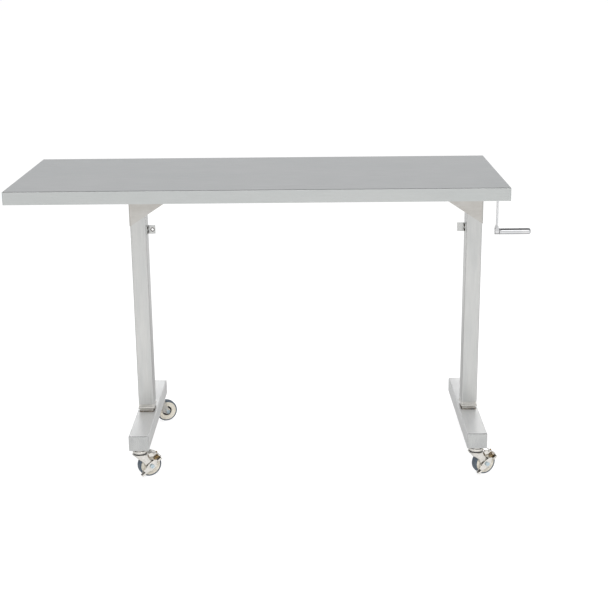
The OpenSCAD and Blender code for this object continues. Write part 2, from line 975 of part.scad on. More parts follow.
// Plastic cap round the top of the inner tube, open for the cylinder
module glide(side) {
  out_w = col_w - 2 * col_wall - 2 * guide_gap;
  out_d = col_d - 2 * col_wall - 2 * guide_gap;
  color([0.92, 0.92, 0.9])
    at_column(side)
      difference() {
        translate([0, 0, inner_top - glide_l])
          linear_extrude(glide_l + glide_rim)
            round_rect(out_w, out_d, max(col_r - col_wall, 0.6));
        translate([0, 0, inner_top - glide_l - eps])
          linear_extrude(glide_l + eps)
            round_rect(inner_w, inner_d, inner_r);
        translate([0, 0, inner_top - eps])
          linear_extrude(glide_rim + 2 * eps)
            round_rect(inner_w - 2 * inner_wall, inner_d - 2 * inner_wall, 1);
      }
}

module left_glide() {
  glide(-1);
}

module right_glide() {
  glide(1);
}

// Piston and rod in one, standing on the foot on a round base
module piston_rod(side) {
  color([0.6, 0.62, 0.64])
    at_column(side)
      union() {
        translate([0, 0, foot_z])
          cylinder(d = rod_base_d, h = rod_base_t);
        translate([0, 0, foot_z + rod_base_t / 2])
          cylinder(d = rod_d, h = piston_top - foot_z - rod_base_t / 2 - eps);
        translate([0, 0, piston_top - piston_l])
          cylinder(d = cyl_bore - 4 * run_gap, h = piston_l);
      }
}

module left_piston_rod() {
  piston_rod(-1);
}

module right_piston_rod() {
  piston_rod(1);
}

// Fixed half of a swivel: stem, upper race, and the rivet that holds the fork
module caster_stems(side) {
  race_z = cup_top + face_gap;
  head_z = fork_top - face_gap;
  head_h = 2;
  head_d = king_d + 7;
  race_r = race_d / 2 - 2;
  race_bevel = 1.5;
  color([0.8, 0.79, 0.76])
    for (end = [-1, 1])
      translate([column_x(side), caster_y(end), 0])
        union() {
          rotate_extrude()
            polygon([[0, caster_h], [race_r, caster_h], [race_r, race_z + race_bevel],
                     [race_r - race_bevel, race_z], [0, race_z]]);
          translate([0, 0, caster_h - eps])
            cylinder(d = stem_d, h = stem_l + eps);
          translate([0, 0, head_z - head_h / 2])
            cylinder(d = king_d, h = race_z - head_z + head_h / 2 + eps);
          translate([0, 0, head_z - head_h])
            cylinder(d = head_d, h = head_h);
        }
}

module left_caster_stems() {
  caster_stems(-1);
}

module right_caster_stems() {
  caster_stems(1);
}

// One rounded corner of both legs, seen from the side, drawn in by inset
module leg_corner(x, z, r, inset) {
  translate([x, inset - leg_y, z])
    rotate([-90, 0, 0])
      cylinder(r = r - (inset > 0 ? 1 : 0), h = 2 * (leg_y - inset), $fn = hull_fn);
}

// Solid between the round crown of a fork and the ends of its upright legs, drawn in by inset
module fork_blank(inset) {
  toe_r = 4;
  heel_r = 7;
  heel_z = fork_top - heel_r - 4;
  hull() {
    translate([0, 0, fork_top - (inset > 0 ? eps : 0)])
      cylinder(r = race_d / 2 + 1 - inset, h = inset > 0 ? eps : fork_plate, $fn = hull_fn);
    leg_corner(trail, wheel_r, leg_r, inset);
    leg_corner(trail - leg_toe + toe_r, wheel_r, toe_r, inset);
    leg_corner(trail + leg_r - heel_r, heel_z, heel_r, inset);
  }
}

// Part of a ring round the axle, between two angles above the level, as a bar along the axle
module ring_part(r0, r1, a0, a1, width) {
  far = 2 * r1;
  translate([trail, width / 2, wheel_r])
    rotate([90, 0, 0])
      linear_extrude(width)
        intersection() {
          difference() {
            circle(r1);
            circle(r0);
          }
          polygon([[0, 0], [far * cos(a0), far * sin(a0)],
                   [far * cos((a0 + a1) / 2), far * sin((a0 + a1) / 2)],
                   [far * cos(a1), far * sin(a1)]]);
        }
}

// Hood of a braked fork: a curved cover behind the wheel with a web on each side
module hood() {
  cover_r = wheel_r + crown_gap;
  web_r = 30;
  past = 9;
  window_low = hood_low + 5;
  window_high = shoe_mid - 1;
  difference() {
    ring_part(web_r, cover_r + fork_t, hood_low, hood_high, 2 * leg_y);
    ring_part(web_r - eps, cover_r, hood_low - past, hood_high + past, fork_gap);
    ring_part(web_r + 4, cover_r - 2, window_low, window_high, 4 * leg_y);
    shoe_pin(hole_gap);
  }
}

// Guide pin of the brake shoe, along the radius through the middle of the shoe
module shoe_pin(gap) {
  pin_start = wheel_r + shoe_gap + 1;
  pin_end = wheel_r + crown_gap + fork_t + 3;
  translate([trail, 0, wheel_r])
    rotate([0, 90 - shoe_mid, 0])
      translate([0, 0, pin_start])
        cylinder(d = shoe_pin_d + 2 * gap, h = pin_end - pin_start);
}

// Pressed fork: crown, leading skirt and two legs in one thin shell, open for the wheel
module fork(side, end, turn) {
  slot_w = 8;
  slot_h = 8;
  slot_x = trail - 3.5;
  slot_z = 60.5;
  mouth_z = 54.5;
  cup_r = race_d / 2;
  cup_wall = 1.5;
  cup_floor = race_h - 1;
  cup_lip = race_h + 0.5;
  color([0.78, 0.76, 0.72])
    at_caster(side, end, turn)
      difference() {
        union() {
          difference() {
            fork_blank(0);
            fork_blank(fork_t);
          }
          if (end < 0)
            hood();
          translate([trail, -seat_y, wheel_r])
            rod_y(2 * leg_r - 2, 2 * seat_y);
          translate([0, 0, fork_top + fork_plate - 0.5])
            rotate_extrude()
              polygon([[0, 0], [cup_r, 0], [cup_r + 0.5, race_h / 2], [cup_r, cup_lip],
                       [cup_r - cup_wall, cup_lip], [cup_r - cup_wall - 1, cup_floor],
                       [0, cup_floor]]);
        }
        translate([trail, -fork_gap / 2, wheel_r])
          rod_y(wheel_d + 2 * crown_gap, fork_gap);
        translate([-race_d, -fork_gap / 2, -eps])
          cube([2 * race_d + trail, fork_gap, mouth_z + eps]);
        translate([trail, -2 * leg_y, wheel_r])
          rod_y(axle_d + 2 * run_gap, 4 * leg_y);
        translate([0, 0, fork_top - 2])
          cylinder(d = king_d + 2 * hole_gap, h = fork_plate + race_h + 4);
        translate([slot_x - slot_w / 2, -race_d, slot_z])
          cube([slot_w, 2 * race_d, slot_h]);
      }
}

// Brake shoe under the hood, with its guide pin through the hood
module brake_shoe(side, end, turn) {
  shoe_t = 2;
  shoe_w = 18;
  shoe_r = wheel_r + shoe_gap;
  color([0.35, 0.28, 0.2])
    at_caster(side, end, turn)
      union() {
        ring_part(shoe_r, shoe_r + shoe_t, shoe_mid - shoe_arc / 2, shoe_mid + shoe_arc / 2, shoe_w);
        shoe_pin(0);
      }
}

// Axle bolt with a hexagon head on one leg's seat and a nut on the other; gap is for a lever
module axle(side, end, turn, gap) {
  head_y = seat_y + gap + face_gap;
  color([0.75, 0.82, 0.86])
    at_caster(side, end, turn)
      translate([trail, 0, wheel_r])
        union() {
          translate([0, -head_y, 0])
            rod_y(axle_d, head_y + seat_y + face_gap + bolt_head_h + 1.5);
          translate([0, -head_y - bolt_head_h, 0])
            rotate([-90, 0, 0])
              cylinder(d = bolt_head_d, h = bolt_head_h, $fn = 6);
          translate([0, seat_y + face_gap, 0])
            rotate([-90, 0, 0])
              cylinder(d = bolt_head_d, h = bolt_head_h, $fn = 6);
        }
}

// Moulded wheel centre: rim, thin web and a hub behind a ring-shaped recess
module wheel_core(side, end, turn) {
  rim_w = tyre_w - 3;
  hub_r = 11;
  recess_r = 16;
  recess = 6;
  web_r = 24;
  web_in = 1;
  ring_r = web_r + 1.5;
  bore_r = axle_d / 2 + run_gap;
  y1 = rim_w / 2;
  color([0.85, 0.8, 0.7])
    at_caster(side, end, turn)
      translate([trail, 0, wheel_r])
        rotate([-90, 0, 0])
          rotate_extrude()
            polygon([[bore_r, -hub_w / 2], [hub_r, -hub_w / 2], [hub_r, recess - y1],
                     [recess_r, recess - y1], [recess_r, web_in - y1], [web_r, web_in - y1],
                     [ring_r, -y1], [rim_r, -y1], [rim_r, y1], [ring_r, y1],
                     [web_r, y1 - web_in], [recess_r, y1 - web_in], [recess_r, y1 - recess],
                     [hub_r, y1 - recess], [hub_r, hub_w / 2], [bore_r, hub_w / 2]]);
}

// Rubber tyre round the wheel centre, with rounded shoulders
module tyre(side, end, turn) {
  color([0.25, 0.29, 0.34])
    at_caster(side, end, turn)
      translate([trail, 0, wheel_r])
        rotate([-90, 0, 0])
          rotate_extrude()
            translate([rim_r, 0])
              intersection() {
                union() {
                  translate([0, -tyre_w / 2])
                    square([tyre_t - tyre_r, tyre_w]);
                  translate([0, -tyre_w / 2 + tyre_r])
                    square([tyre_t, tyre_w - 2 * tyre_r]);
                  for (s = [-1, 1])
                    translate([tyre_t - tyre_r, s * (tyre_w / 2 - tyre_r)])
                      circle(tyre_r);
                }
                translate([0, -tyre_w])
                  square([tyre_t, 2 * tyre_w]);
              }
}

// Brake lever: a plate that rocks on the axle bolt, with a pedal bent out at each end
module brake(side, end, turn) {
  y0 = -seat_y - face_gap - lever_t;
  boss_r = 11;
  neck_r = 10;
  low_w = 11;
  color([0.8, 0.78, 0.74])
    at_caster(side, end, turn)
      translate([trail, y0, wheel_r])
        rotate([0, -lever_slope, 0])
          difference() {
            union() {
              rotate([90, 0, 0])
                translate([0, 0, -lever_t])
                  linear_extrude(lever_t)
                    union() {
                      circle(boss_r);
                      polygon([[-lever_low, -low_w / 2], [0, -neck_r],
                               [lever_high, -pedal_w / 2], [lever_high, pedal_w / 2],
                               [0, neck_r], [-lever_low, low_w / 2]]);
                    }
              translate([-lever_low, -pedal_d, -pedal_w / 2])
                cube([lever_t, pedal_d + lever_t, pedal_w]);
              translate([lever_high - lever_t, -pedal_d, -pedal_w / 2])
                cube([lever_t, pedal_d + lever_t, pedal_w]);
            }
            translate([0, -eps, 0])
              rod_y(axle_d + 2 * hole_gap, lever_t + 2 * eps);
          }
}

module front_left_fork() {
  fork(-1, -1, front_left_turn);
}

module front_left_axle() {
  axle(-1, -1, front_left_turn, lever_t + face_gap);
}

module front_left_wheel() {
  wheel_core(-1, -1, front_left_turn);
}

module front_left_tyre() {
  tyre(-1, -1, front_left_turn);
}

module front_left_brake() {
  brake(-1, -1, front_left_turn);
}

module front_left_shoe() {
  brake_shoe(-1, -1, front_left_turn);
}

module front_right_fork() {
  fork(1, -1, front_right_turn);
}

module front_right_axle() {
  axle(1, -1, front_right_turn, lever_t + face_gap);
}

module front_right_wheel() {
  wheel_core(1, -1, front_right_turn);
}

module front_right_tyre() {
  tyre(1, -1, front_right_turn);
}

module front_right_brake() {
  brake(1, -1, front_right_turn);
}

module front_right_shoe() {
  brake_shoe(1, -1, front_right_turn);
}

module rear_left_fork() {
  fork(-1, 1, rear_left_turn);
}

module rear_left_axle() {
  axle(-1, 1, rear_left_turn, 0);
}

module rear_left_wheel() {
  wheel_core(-1, 1, rear_left_turn);
}

module rear_left_tyre() {
  tyre(-1, 1, rear_left_turn);
}

module rear_right_fork() {
  fork(1, 1, rear_right_turn);
}

module rear_right_axle() {
  axle(1, 1, rear_right_turn, 0);
}

module rear_right_wheel() {
  wheel_core(1, 1, rear_right_turn);
}

module rear_right_tyre() {
  tyre(1, 1, rear_right_turn);
}

table_top();
front_channel();
rear_channel();
left_mount_plate();
right_mount_plate();
mount_bolts();
left_outer_column();
right_outer_column();
left_gusset();
right_gusset();
left_bracket();
right_bracket();
bracket_screws();
left_collar();
right_collar();
left_cylinder();
right_cylinder();
pump_housing();
shaft_hanger();
left_fluid_line();
right_fluid_line();
line_clips();
crank_shaft();
crank_arm();
crank_screw();
grip_pin();
crank_grip();
left_foot();
left_foot_caps();
left_inner_column();
left_glide();
left_piston_rod();
left_caster_stems();
right_foot();
right_foot_caps();
right_inner_column();
right_glide();
right_piston_rod();
right_caster_stems();
front_left_fork();
front_left_axle();
front_left_wheel();
front_left_tyre();
front_left_brake();
front_left_shoe();
front_right_fork();
front_right_axle();
front_right_wheel();
front_right_tyre();
front_right_brake();
front_right_shoe();
rear_left_fork();
rear_left_axle();
rear_left_wheel();
rear_left_tyre();
rear_right_fork();
rear_right_axle();
rear_right_wheel();
rear_right_tyre();
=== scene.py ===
"""Instrument table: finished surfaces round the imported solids, with floor, lamps and camera.

Sizes are millimetres in the part's own frame: X along the top to the crank, Y to the rear,
Z up, floor at Z = 0. A caster has a frame of its own: X along its trail, Z up its swivel axis.
"""
from __future__ import annotations

import json
import logging
import math
from dataclasses import dataclass, field
from enum import Enum

import bmesh
import bpy
import numpy as np
from mathutils import Matrix, Vector

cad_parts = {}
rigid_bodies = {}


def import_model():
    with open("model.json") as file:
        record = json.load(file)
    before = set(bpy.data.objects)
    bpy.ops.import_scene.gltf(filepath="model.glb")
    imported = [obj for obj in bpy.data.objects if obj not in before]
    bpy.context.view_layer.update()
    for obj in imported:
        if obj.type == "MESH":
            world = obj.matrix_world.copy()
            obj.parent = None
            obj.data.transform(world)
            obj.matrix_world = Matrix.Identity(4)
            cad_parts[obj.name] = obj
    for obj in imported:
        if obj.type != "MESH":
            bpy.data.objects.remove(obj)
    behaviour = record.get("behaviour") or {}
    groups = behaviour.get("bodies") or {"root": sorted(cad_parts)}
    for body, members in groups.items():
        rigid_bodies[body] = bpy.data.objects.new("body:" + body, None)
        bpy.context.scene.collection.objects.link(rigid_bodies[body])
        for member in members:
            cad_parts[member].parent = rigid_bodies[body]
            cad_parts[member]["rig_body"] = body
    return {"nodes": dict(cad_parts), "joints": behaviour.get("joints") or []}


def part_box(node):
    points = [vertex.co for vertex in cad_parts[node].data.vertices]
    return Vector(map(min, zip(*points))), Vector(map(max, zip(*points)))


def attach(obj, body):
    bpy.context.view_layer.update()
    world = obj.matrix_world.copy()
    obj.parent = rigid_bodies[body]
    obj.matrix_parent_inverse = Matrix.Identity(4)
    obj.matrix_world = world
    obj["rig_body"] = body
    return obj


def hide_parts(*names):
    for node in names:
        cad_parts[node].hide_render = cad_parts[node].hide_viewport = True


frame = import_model()

MM = 0.001
TURN = 2 * math.pi
LOG = logging.getLogger("instrument_table")
Array = np.ndarray
Object = bpy.types.Object
Socket = bpy.types.NodeSocket
Tree = bpy.types.NodeTree
Colour = tuple[float, float, float, float]
X_AXIS, Y_AXIS, Z_AXIS = np.eye(3)
JOINTS = {joint["name"]: joint for joint in frame["joints"]}


# Colours and nodes


def to_linear(code: str) -> Colour:
    """Turns an sRGB hex colour to linear: s / 12.92 when dark, else ((s + 0.055) / 1.055) ** 2.4.

    Args:
        code: Six hex digits.

    Returns:
        Linear red, green, blue and full alpha.
    """
    parts = [int(code[i:i + 2], 16) / 255 for i in (0, 2, 4)]
    red, green, blue = (s / 12.92 if s <= 0.04045 else ((s + 0.055) / 1.055) ** 2.4 for s in parts)
    return (red, green, blue, 1.0)


WHITE = to_linear("ffffff")


def clear_tree(owner: bpy.types.Material | bpy.types.World) -> Tree:
    """Empties the node tree of a material or world.

    Args:
        owner: The material or world.

    Returns:
        Its tree, without nodes.
    """
    owner.use_nodes = True
    owner.node_tree.nodes.clear()
    return owner.node_tree


def connect(tree: Tree, node: bpy.types.Node, inputs: dict) -> None:
    """Sets a node's inputs to values or links them to sockets.

    Args:
        tree: The node tree.
        node: The node.
        inputs: Values or sockets, by the input's name or number.
    """
    for key, value in inputs.items():
        if isinstance(value, Socket):
            tree.links.new(value, node.inputs[key])
        else:
            node.inputs[key].default_value = value


def add_node(tree: Tree, kind: str, inputs: dict | None = None, **fields: str) -> bpy.types.Node:
    """Adds one node with its settings and links.

    Args:
        tree: The node tree.
        kind: The node's type name without "ShaderNode".
        inputs: Values or sockets for its inputs.
        **fields: Attributes of the node.

    Returns:
        The new node.
    """
    node = tree.nodes.new("ShaderNode" + kind)
    for key, value in fields.items():
        setattr(node, key, value)
    connect(tree, node, inputs or {})
    return node


class Coords(Enum):
    """Where a pattern is laid: on the object's own place, or on the grain map along its surface."""

    OBJECT = "object"
    GRAIN = "grain"


@dataclass(frozen=True)
class Pattern:
    """Noise with a real size: long and narrow sizes make streaks.

    Attributes:
        size: Millimetres over which it changes, for all axes of its coordinates or for each.
        detail: Number of finer layers.
        seed: Shift that makes two patterns differ.
    """

    size: float | tuple[float, float, float]
    detail: float
    seed: float

    def add(self, tree: Tree, source: Socket) -> Socket:
        """Adds the pattern's nodes.

        Args:
            tree: The material's tree.
            source: Coordinates in metres.

        Returns:
            The pattern's value, mostly from 0.3 to 0.7.
        """
        scale = [1 / (float(side) * MM) for side in np.broadcast_to(self.size, 3)]
        place = add_node(tree, "Mapping", {"Vector": source, "Scale": scale, "Location": (self.seed,) * 3})
        return add_node(tree, "TexNoise", {"Vector": place.outputs[0], "Scale": 1.0,
                                           "Detail": self.detail, "Roughness": 0.55}).outputs[0]


@dataclass(frozen=True)
class Finish:
    """One real material with the way its surface was made.

    Attributes:
        name: The material's name.
        colour: sRGB hex of most of the surface.
        shade: sRGB hex where the broad pattern is high.
        broad: Pattern of clouding or staining.
        fine: Pattern of grain, grit or streaks.
        metallic: 1 for bare metal, less where it scatters most of the light, 0 for the rest.
        roughness: Lowest and highest roughness, driven by the fine pattern.
        contrast: How far the fine pattern darkens the colour.
        relief: Height of the fine pattern in millimetres.
        coords: Where the patterns are laid.
        anisotropy: Stretch of highlights across the grain.
    """

    name: str
    colour: str
    shade: str
    broad: Pattern
    fine: Pattern
    metallic: float
    roughness: tuple[float, float]
    contrast: float
    relief: float
    coords: Coords = Coords.OBJECT
    anisotropy: float = 0.0

    def source(self, tree: Tree) -> Socket:
        """Gives the coordinates that the patterns are laid on.

        Args:
            tree: The material's tree.

        Returns:
            Coordinates in metres.
        """
        if self.coords is Coords.GRAIN:
            return add_node(tree, "UVMap", uv_map="grain").outputs[0]
        return add_node(tree, "TexCoord").outputs["Object"]

    def tint(self, tree: Tree, broad: Socket, fine: Socket) -> Socket:
        """Mixes colour and shade by the broad pattern, then darkens the streaks of the fine one.

        Args:
            tree: The material's tree.
            broad: Value of the broad pattern.
            fine: Value of the fine pattern.

        Returns:
            The colour.
        """
        cloud = add_node(tree, "MapRange", {"Value": broad, "From Min": 0.35, "From Max": 0.65})
        mixed = add_node(tree, "Mix", {0: cloud.outputs[0], 6: to_linear(self.colour),
                                       7: to_linear(self.shade)}, data_type="RGBA")
        level = add_node(tree, "MapRange", {"Value": fine, "From Min": 0.3, "From Max": 0.7,
                                            "To Min": 1.0, "To Max": 1.0 - self.contrast})
        grey = add_node(tree, "CombineColor", {channel: level.outputs[0] for channel in range(3)})
        return add_node(tree, "Mix", {0: 1.0, 6: mixed.outputs[2], 7: grey.outputs[0]},
                        data_type="RGBA", blend_type="MULTIPLY").outputs[2]

    def material(self) -> bpy.types.Material:
        """Builds the material at its first use.

        Returns:
            The material, the same one each time.
        """
        made = bpy.data.materials.get(self.name)
        if made:
            return made
        made = bpy.data.materials.new(self.name)
        made.use_nodes = True
        tree = made.node_tree
        source = self.source(tree)
        broad = self.broad.add(tree, source)
        fine = self.fine.add(tree, source)
        rough = add_node(tree, "MapRange", {"Value": fine, "From Min": 0.3, "From Max": 0.7,
                                            "To Min": self.roughness[0], "To Max": self.roughness[1]})
        bump = add_node(tree, "Bump", {"Height": fine, "Distance": self.relief * MM, "Strength": 1.0})
        inputs = {"Base Color": self.tint(tree, broad, fine), "Metallic": self.metallic,
                  "Roughness": rough.outputs[0], "Normal": bump.outputs[0],
                  "Anisotropic": self.anisotropy}
        if self.anisotropy:
            tangent = add_node(tree, "Tangent", direction_type="UV_MAP", uv_map="grain")
            inputs["Tangent"] = tangent.outputs[0]
        connect(tree, tree.nodes["Principled BSDF"], inputs)
        return made


@dataclass(frozen=True)
class HeatTint(Finish):
    """Weld metal with the straw, brown and blue films that heat leaves on stainless steel.

    Attributes:
        brown: sRGB hex of the middle film.
        blue: sRGB hex of the outer film.
    """

    brown: str = "7b6f61"
    blue: str = "666a70"

    def tint(self, tree: Tree, broad: Socket, fine: Socket) -> Socket:
        """Runs from the plain colour over brown to blue as the broad pattern rises.

        Args:
            tree: The material's tree.
            broad: Value of the broad pattern.
            fine: Value of the fine pattern, which has no part in these colours.

        Returns:
            The colour.
        """
        colour = to_linear(self.colour)
        for low, high, film in ((0.38, 0.5, self.brown), (0.5, 0.62, self.blue)):
            share = add_node(tree, "MapRange", {"Value": broad, "From Min": low, "From Max": high})
            colour = add_node(tree, "Mix", {0: share.outputs[0], 6: colour, 7: to_linear(film)},
                              data_type="RGBA").outputs[2]
        return colour


# Finishes. Sheet and tube are type 304 stainless steel, ground with a belt along their length,
# which gives fine parallel streaks and a soft, stretched shine. The streaks are drawn about ten
# times coarser than the real 0.1 mm scratches, so that they show.
SHEET = Finish("stainless_sheet_belt_ground", "c1c3c2", "bdc0bf", Pattern((420, 160, 160), 3, 1.5),
               Pattern((90, 1.4, 1.4), 3, 7.0), 1.0, (0.30, 0.42), 0.05, 0.006, Coords.GRAIN, 0.5)
TUBE = Finish("stainless_tube_belt_ground", "cbcbc9", "c2c3c2", Pattern((260, 40, 40), 3, 4.0),
              Pattern((80, 1.2, 1.2), 3, 2.0), 1.0, (0.28, 0.42), 0.10, 0.006, Coords.GRAIN, 0.5)
# Drawn through a die: smoother and brighter than the ground tubes, with faint lengthwise lines.
DRAWN = Finish("stainless_tube_drawn_bright", "c4c2be", "b4b0aa", Pattern((120, 25, 25), 2, 3.0),
               Pattern((50, 0.8, 0.8), 3, 5.0), 1.0, (0.18, 0.30), 0.08, 0.004, Coords.GRAIN, 0.3)
# The feet are ground with a coarser belt, which scatters so much light that they are drawn as
# half metallic: soft, with level streaks. Their colour is paler than the other stainless as painted light,
# for the light on their tops.
FOOT = Finish("stainless_foot_belt_ground_coarse", "dddddc", "d5d6d6", Pattern((200, 45, 45), 3, 6.0),
              Pattern((60, 1.3, 1.3), 3, 9.0), 0.5, (0.42, 0.52), 0.08, 0.006, Coords.GRAIN, 0.3)
# The plates in the feet's ends are ground upright with a fine belt: darker and sharper.
END_PLATE = Finish("stainless_end_plate_belt_ground", "bbbcbb", "b1b2b2", Pattern((60, 30, 30), 3, 5.0),
                   Pattern((70, 1.2, 1.2), 3, 3.0), 1.0, (0.20, 0.30), 0.09, 0.006, Coords.GRAIN, 0.4)
# Cut and folded plate as it left the mill: matt grey, faintly blotched by pickling.
PLATE = Finish("stainless_plate_pickled", "a9aaab", "9b9c9e", Pattern(35, 4, 1.0),
               Pattern(0.9, 3, 3.0), 1.0, (0.38, 0.52), 0.08, 0.01)
# Folded plate gone over with a wire brush: even, level scratches and a soft shine.
GUSSET = Finish("stainless_gusset_wire_brushed", "c3c1bd", "b9b6b1", Pattern((60, 30, 30), 3, 2.0),
                Pattern((45, 1.1, 1.1), 3, 8.0), 1.0, (0.30, 0.44), 0.10, 0.006, Coords.GRAIN, 0.4)
# The collar's lip is buffed, and mirrors more sharply than the tubes round it.
BUFFED = Finish("stainless_collar_buffed", "d8d6d2", "cdcbc6", Pattern((40, 25, 25), 2, 3.0),
                Pattern((30, 0.8, 0.8), 2, 5.0), 1.0, (0.10, 0.18), 0.05, 0.003, Coords.GRAIN, 0.2)
# The bead stays as welded: rough, with brown and blue films where it ran hot.
WELD = HeatTint("stainless_weld_heat_tinted", "a9a59d", "81796e", Pattern(7, 2, 2.0),
                Pattern(0.8, 2, 6.0), 1.0, (0.30, 0.55), 0.15, 0.03)
# Hot-rolled steel, pressed and nickel plated: warm, glossy, with a slight orange peel.
NICKEL = Finish("pressed_steel_nickel_plated", "e0ddd8", "cfccc6", Pattern(16, 3, 2.0),
                Pattern(1.6, 3, 4.0), 1.0, (0.08, 0.17), 0.05, 0.010)
# Chrome over polished steel: a sharp, clean mirror without grain.
CHROME = Finish("steel_chrome_plated_polished", "d2d2d3", "c9cacc", Pattern(30, 2, 2.0),
                Pattern(2.5, 2, 4.0), 1.0, (0.05, 0.10), 0.03, 0.001)
# Turned on a lathe and left bright: fine rings from the tool under a satin shine.
TURNED = Finish("steel_turned_bright", "b9bcc0", "a9acb0", Pattern(20, 2, 2.0),
                Pattern((0.5, 3, 3), 2, 4.0), 1.0, (0.16, 0.28), 0.08, 0.004)
# Zinc plate with a clear blue passivation: pale, cool and satin, slightly uneven.
ZINC = Finish("steel_zinc_blue_passivated", "cfdde3", "b4c3cb", Pattern(6, 3, 2.0),
              Pattern(0.6, 3, 4.0), 1.0, (0.22, 0.36), 0.08, 0.008)
# Zinc plate with a yellow passivation: straw to brown, patchy and satin.
YELLOW_ZINC = Finish("steel_zinc_yellow_passivated", "c2a672", "8f7449", Pattern(5, 3, 2.0),
                     Pattern(0.8, 3, 4.0), 1.0, (0.25, 0.45), 0.20, 0.01)
# Steel with a black oxide: a warm dark grey with a dull, uneven shine.
DARK_STEEL = Finish("steel_black_oxide", "6b645b", "4c463f", Pattern(8, 3, 2.0),
                    Pattern(0.7, 3, 4.0), 1.0, (0.30, 0.48), 0.15, 0.01)
# Die-cast aluminium, tumbled: grey, matt and finely pitted.
CAST = Finish("aluminium_die_cast_tumbled", "8e9193", "7b7e81", Pattern(14, 4, 2.0),
              Pattern(0.9, 4, 4.0), 1.0, (0.42, 0.58), 0.12, 0.03)
# Brass tube dulled by air and handling: brown-yellow with a soft shine.
BRASS = Finish("brass_tube_dulled", "b08f55", "8f7040", Pattern(18, 3, 2.0),
               Pattern(1.2, 3, 4.0), 1.0, (0.28, 0.42), 0.10, 0.004)
# Black stoving enamel: even, smooth and half glossy.
ENAMEL = Finish("steel_black_enamel", "222326", "191a1c", Pattern(20, 2, 2.0),
                Pattern(1.5, 2, 4.0), 0.0, (0.28, 0.38), 0.06, 0.01)
# Black nylon from the mould: charcoal, nearly matt, finely textured.
BLACK_NYLON = Finish("nylon_black_moulded", "26272a", "1d1e20", Pattern(9, 2, 2.0),
                     Pattern(0.5, 2, 4.0), 0.0, (0.45, 0.6), 0.06, 0.02)
# White nylon machined from bar: off-white and satin, with faint lines from the tool.
WHITE_NYLON = Finish("nylon_white_machined", "dedcd4", "cfccc2", Pattern(15, 2, 2.0),
                     Pattern((0.6, 0.6, 4), 2, 4.0), 0.0, (0.35, 0.5), 0.04, 0.01)
# Cream polyamide wheel centre: satin from the mould, with flow clouds and a little floor dust.
CREAM_NYLON = Finish("nylon_cream_moulded", "e8e2d5", "dad4c6", Pattern(14, 4, 2.0),
                     Pattern(0.8, 3, 4.0), 0.0, (0.34, 0.48), 0.06, 0.012)
# Grey-blue non-marking rubber, matt and slightly dusty.
RUBBER = Finish("rubber_grey_moulded", "46525f", "5d6771", Pattern(11, 4, 2.0),
                Pattern(0.7, 4, 4.0), 0.0, (0.55, 0.75), 0.15, 0.03)


# Shapes


def soften(points: Array, cut: float | Array, steps: int = 5, closed: bool = False) -> Array:
    """Rounds the corners of a line of points.

    Each corner P, with a point A before and B after at the distance cut, becomes the curve
    (1 - t)^2 A + 2 t (1 - t) P + t^2 B for t from 0 to 1. Cut is at most 0.49 of a side.

    Args:
        points: Corners, n by 2 or 3.
        cut: Distance from the corner at which the curve starts, for all corners or for each.
        steps: Points on each curve.
        closed: The line ends where it starts.

    Returns:
        The softened line.
    """
    points = np.asarray(points, float)
    before = np.roll(points, 1, axis=0) - points
    after = np.roll(points, -1, axis=0) - points
    cut = np.broadcast_to(np.asarray(cut, float), len(points))[:, None]
    length_a = np.linalg.norm(before, axis=1, keepdims=True)
    length_b = np.linalg.norm(after, axis=1, keepdims=True)
    start = points + before * np.minimum(cut / length_a, 0.49)
    end = points + after * np.minimum(cut / length_b, 0.49)
    t = np.linspace(0, 1, steps)[None, :, None]
    curves = (1 - t) ** 2 * start[:, None] + 2 * t * (1 - t) * points[:, None] + t ** 2 * end[:, None]
    if closed:
        return curves.reshape(-1, points.shape[1])
    inner = curves[1:-1].reshape(-1, points.shape[1])
    return np.concatenate([points[:1], inner, points[-1:]])


def box_outline(width: float, depth: float, radius: float, steps: int = 6) -> Array:
    """Gives a rectangle with round corners: four corners at half the sides, softened."""
    w, d = width / 2, depth / 2
    return soften([[w, -d], [w, d], [-w, d], [-w, -d]], radius, steps, closed=True)


def rectangle(x0: float, x1: float, y0: float, y1: float) -> list[list[float]]:
    """Gives the corners of a rectangle, once round."""
    return [[x0, y0], [x1, y0], [x1, y1], [x0, y1]]


def tilted(degrees: float) -> tuple[Array, Array]:
    """Gives the directions (cos a, 0, sin a) and (-sin a, 0, cos a), along and square to a slope."""
    c, s = math.cos(math.radians(degrees)), math.sin(math.radians(degrees))
    return np.array([c, 0, s]), np.array([-s, 0, c])


def circle(radius: float, count: int = 16) -> Array:
    """Gives points (r cos a, r sin a) round a circle."""
    a = np.arange(count) / count * TURN
    return np.stack([radius * np.cos(a), radius * np.sin(a)], axis=1)


def carry(section: Array, origins: Array, first: Array, second: Array) -> Array:
    """Carries a flat section along a path: P[i, j] = origin[i] + s[j, 0] a[i] + s[j, 1] b[i].

    Args:
        section: Points of the section, m by 2.
        origins: Points of the path, n by 3.
        first: Direction of the section's first axis, one or n by 3.
        second: Direction of its second axis, one or n by 3.

    Returns:
        A grid of points, n by m by 3.
    """
    section = np.asarray(section, float)
    origins = np.atleast_2d(origins)
    first = np.broadcast_to(first, origins.shape)
    second = np.broadcast_to(second, origins.shape)
    return (origins[:, None] + section[None, :, :1] * first[:, None]
            + section[None, :, 1:] * second[:, None])


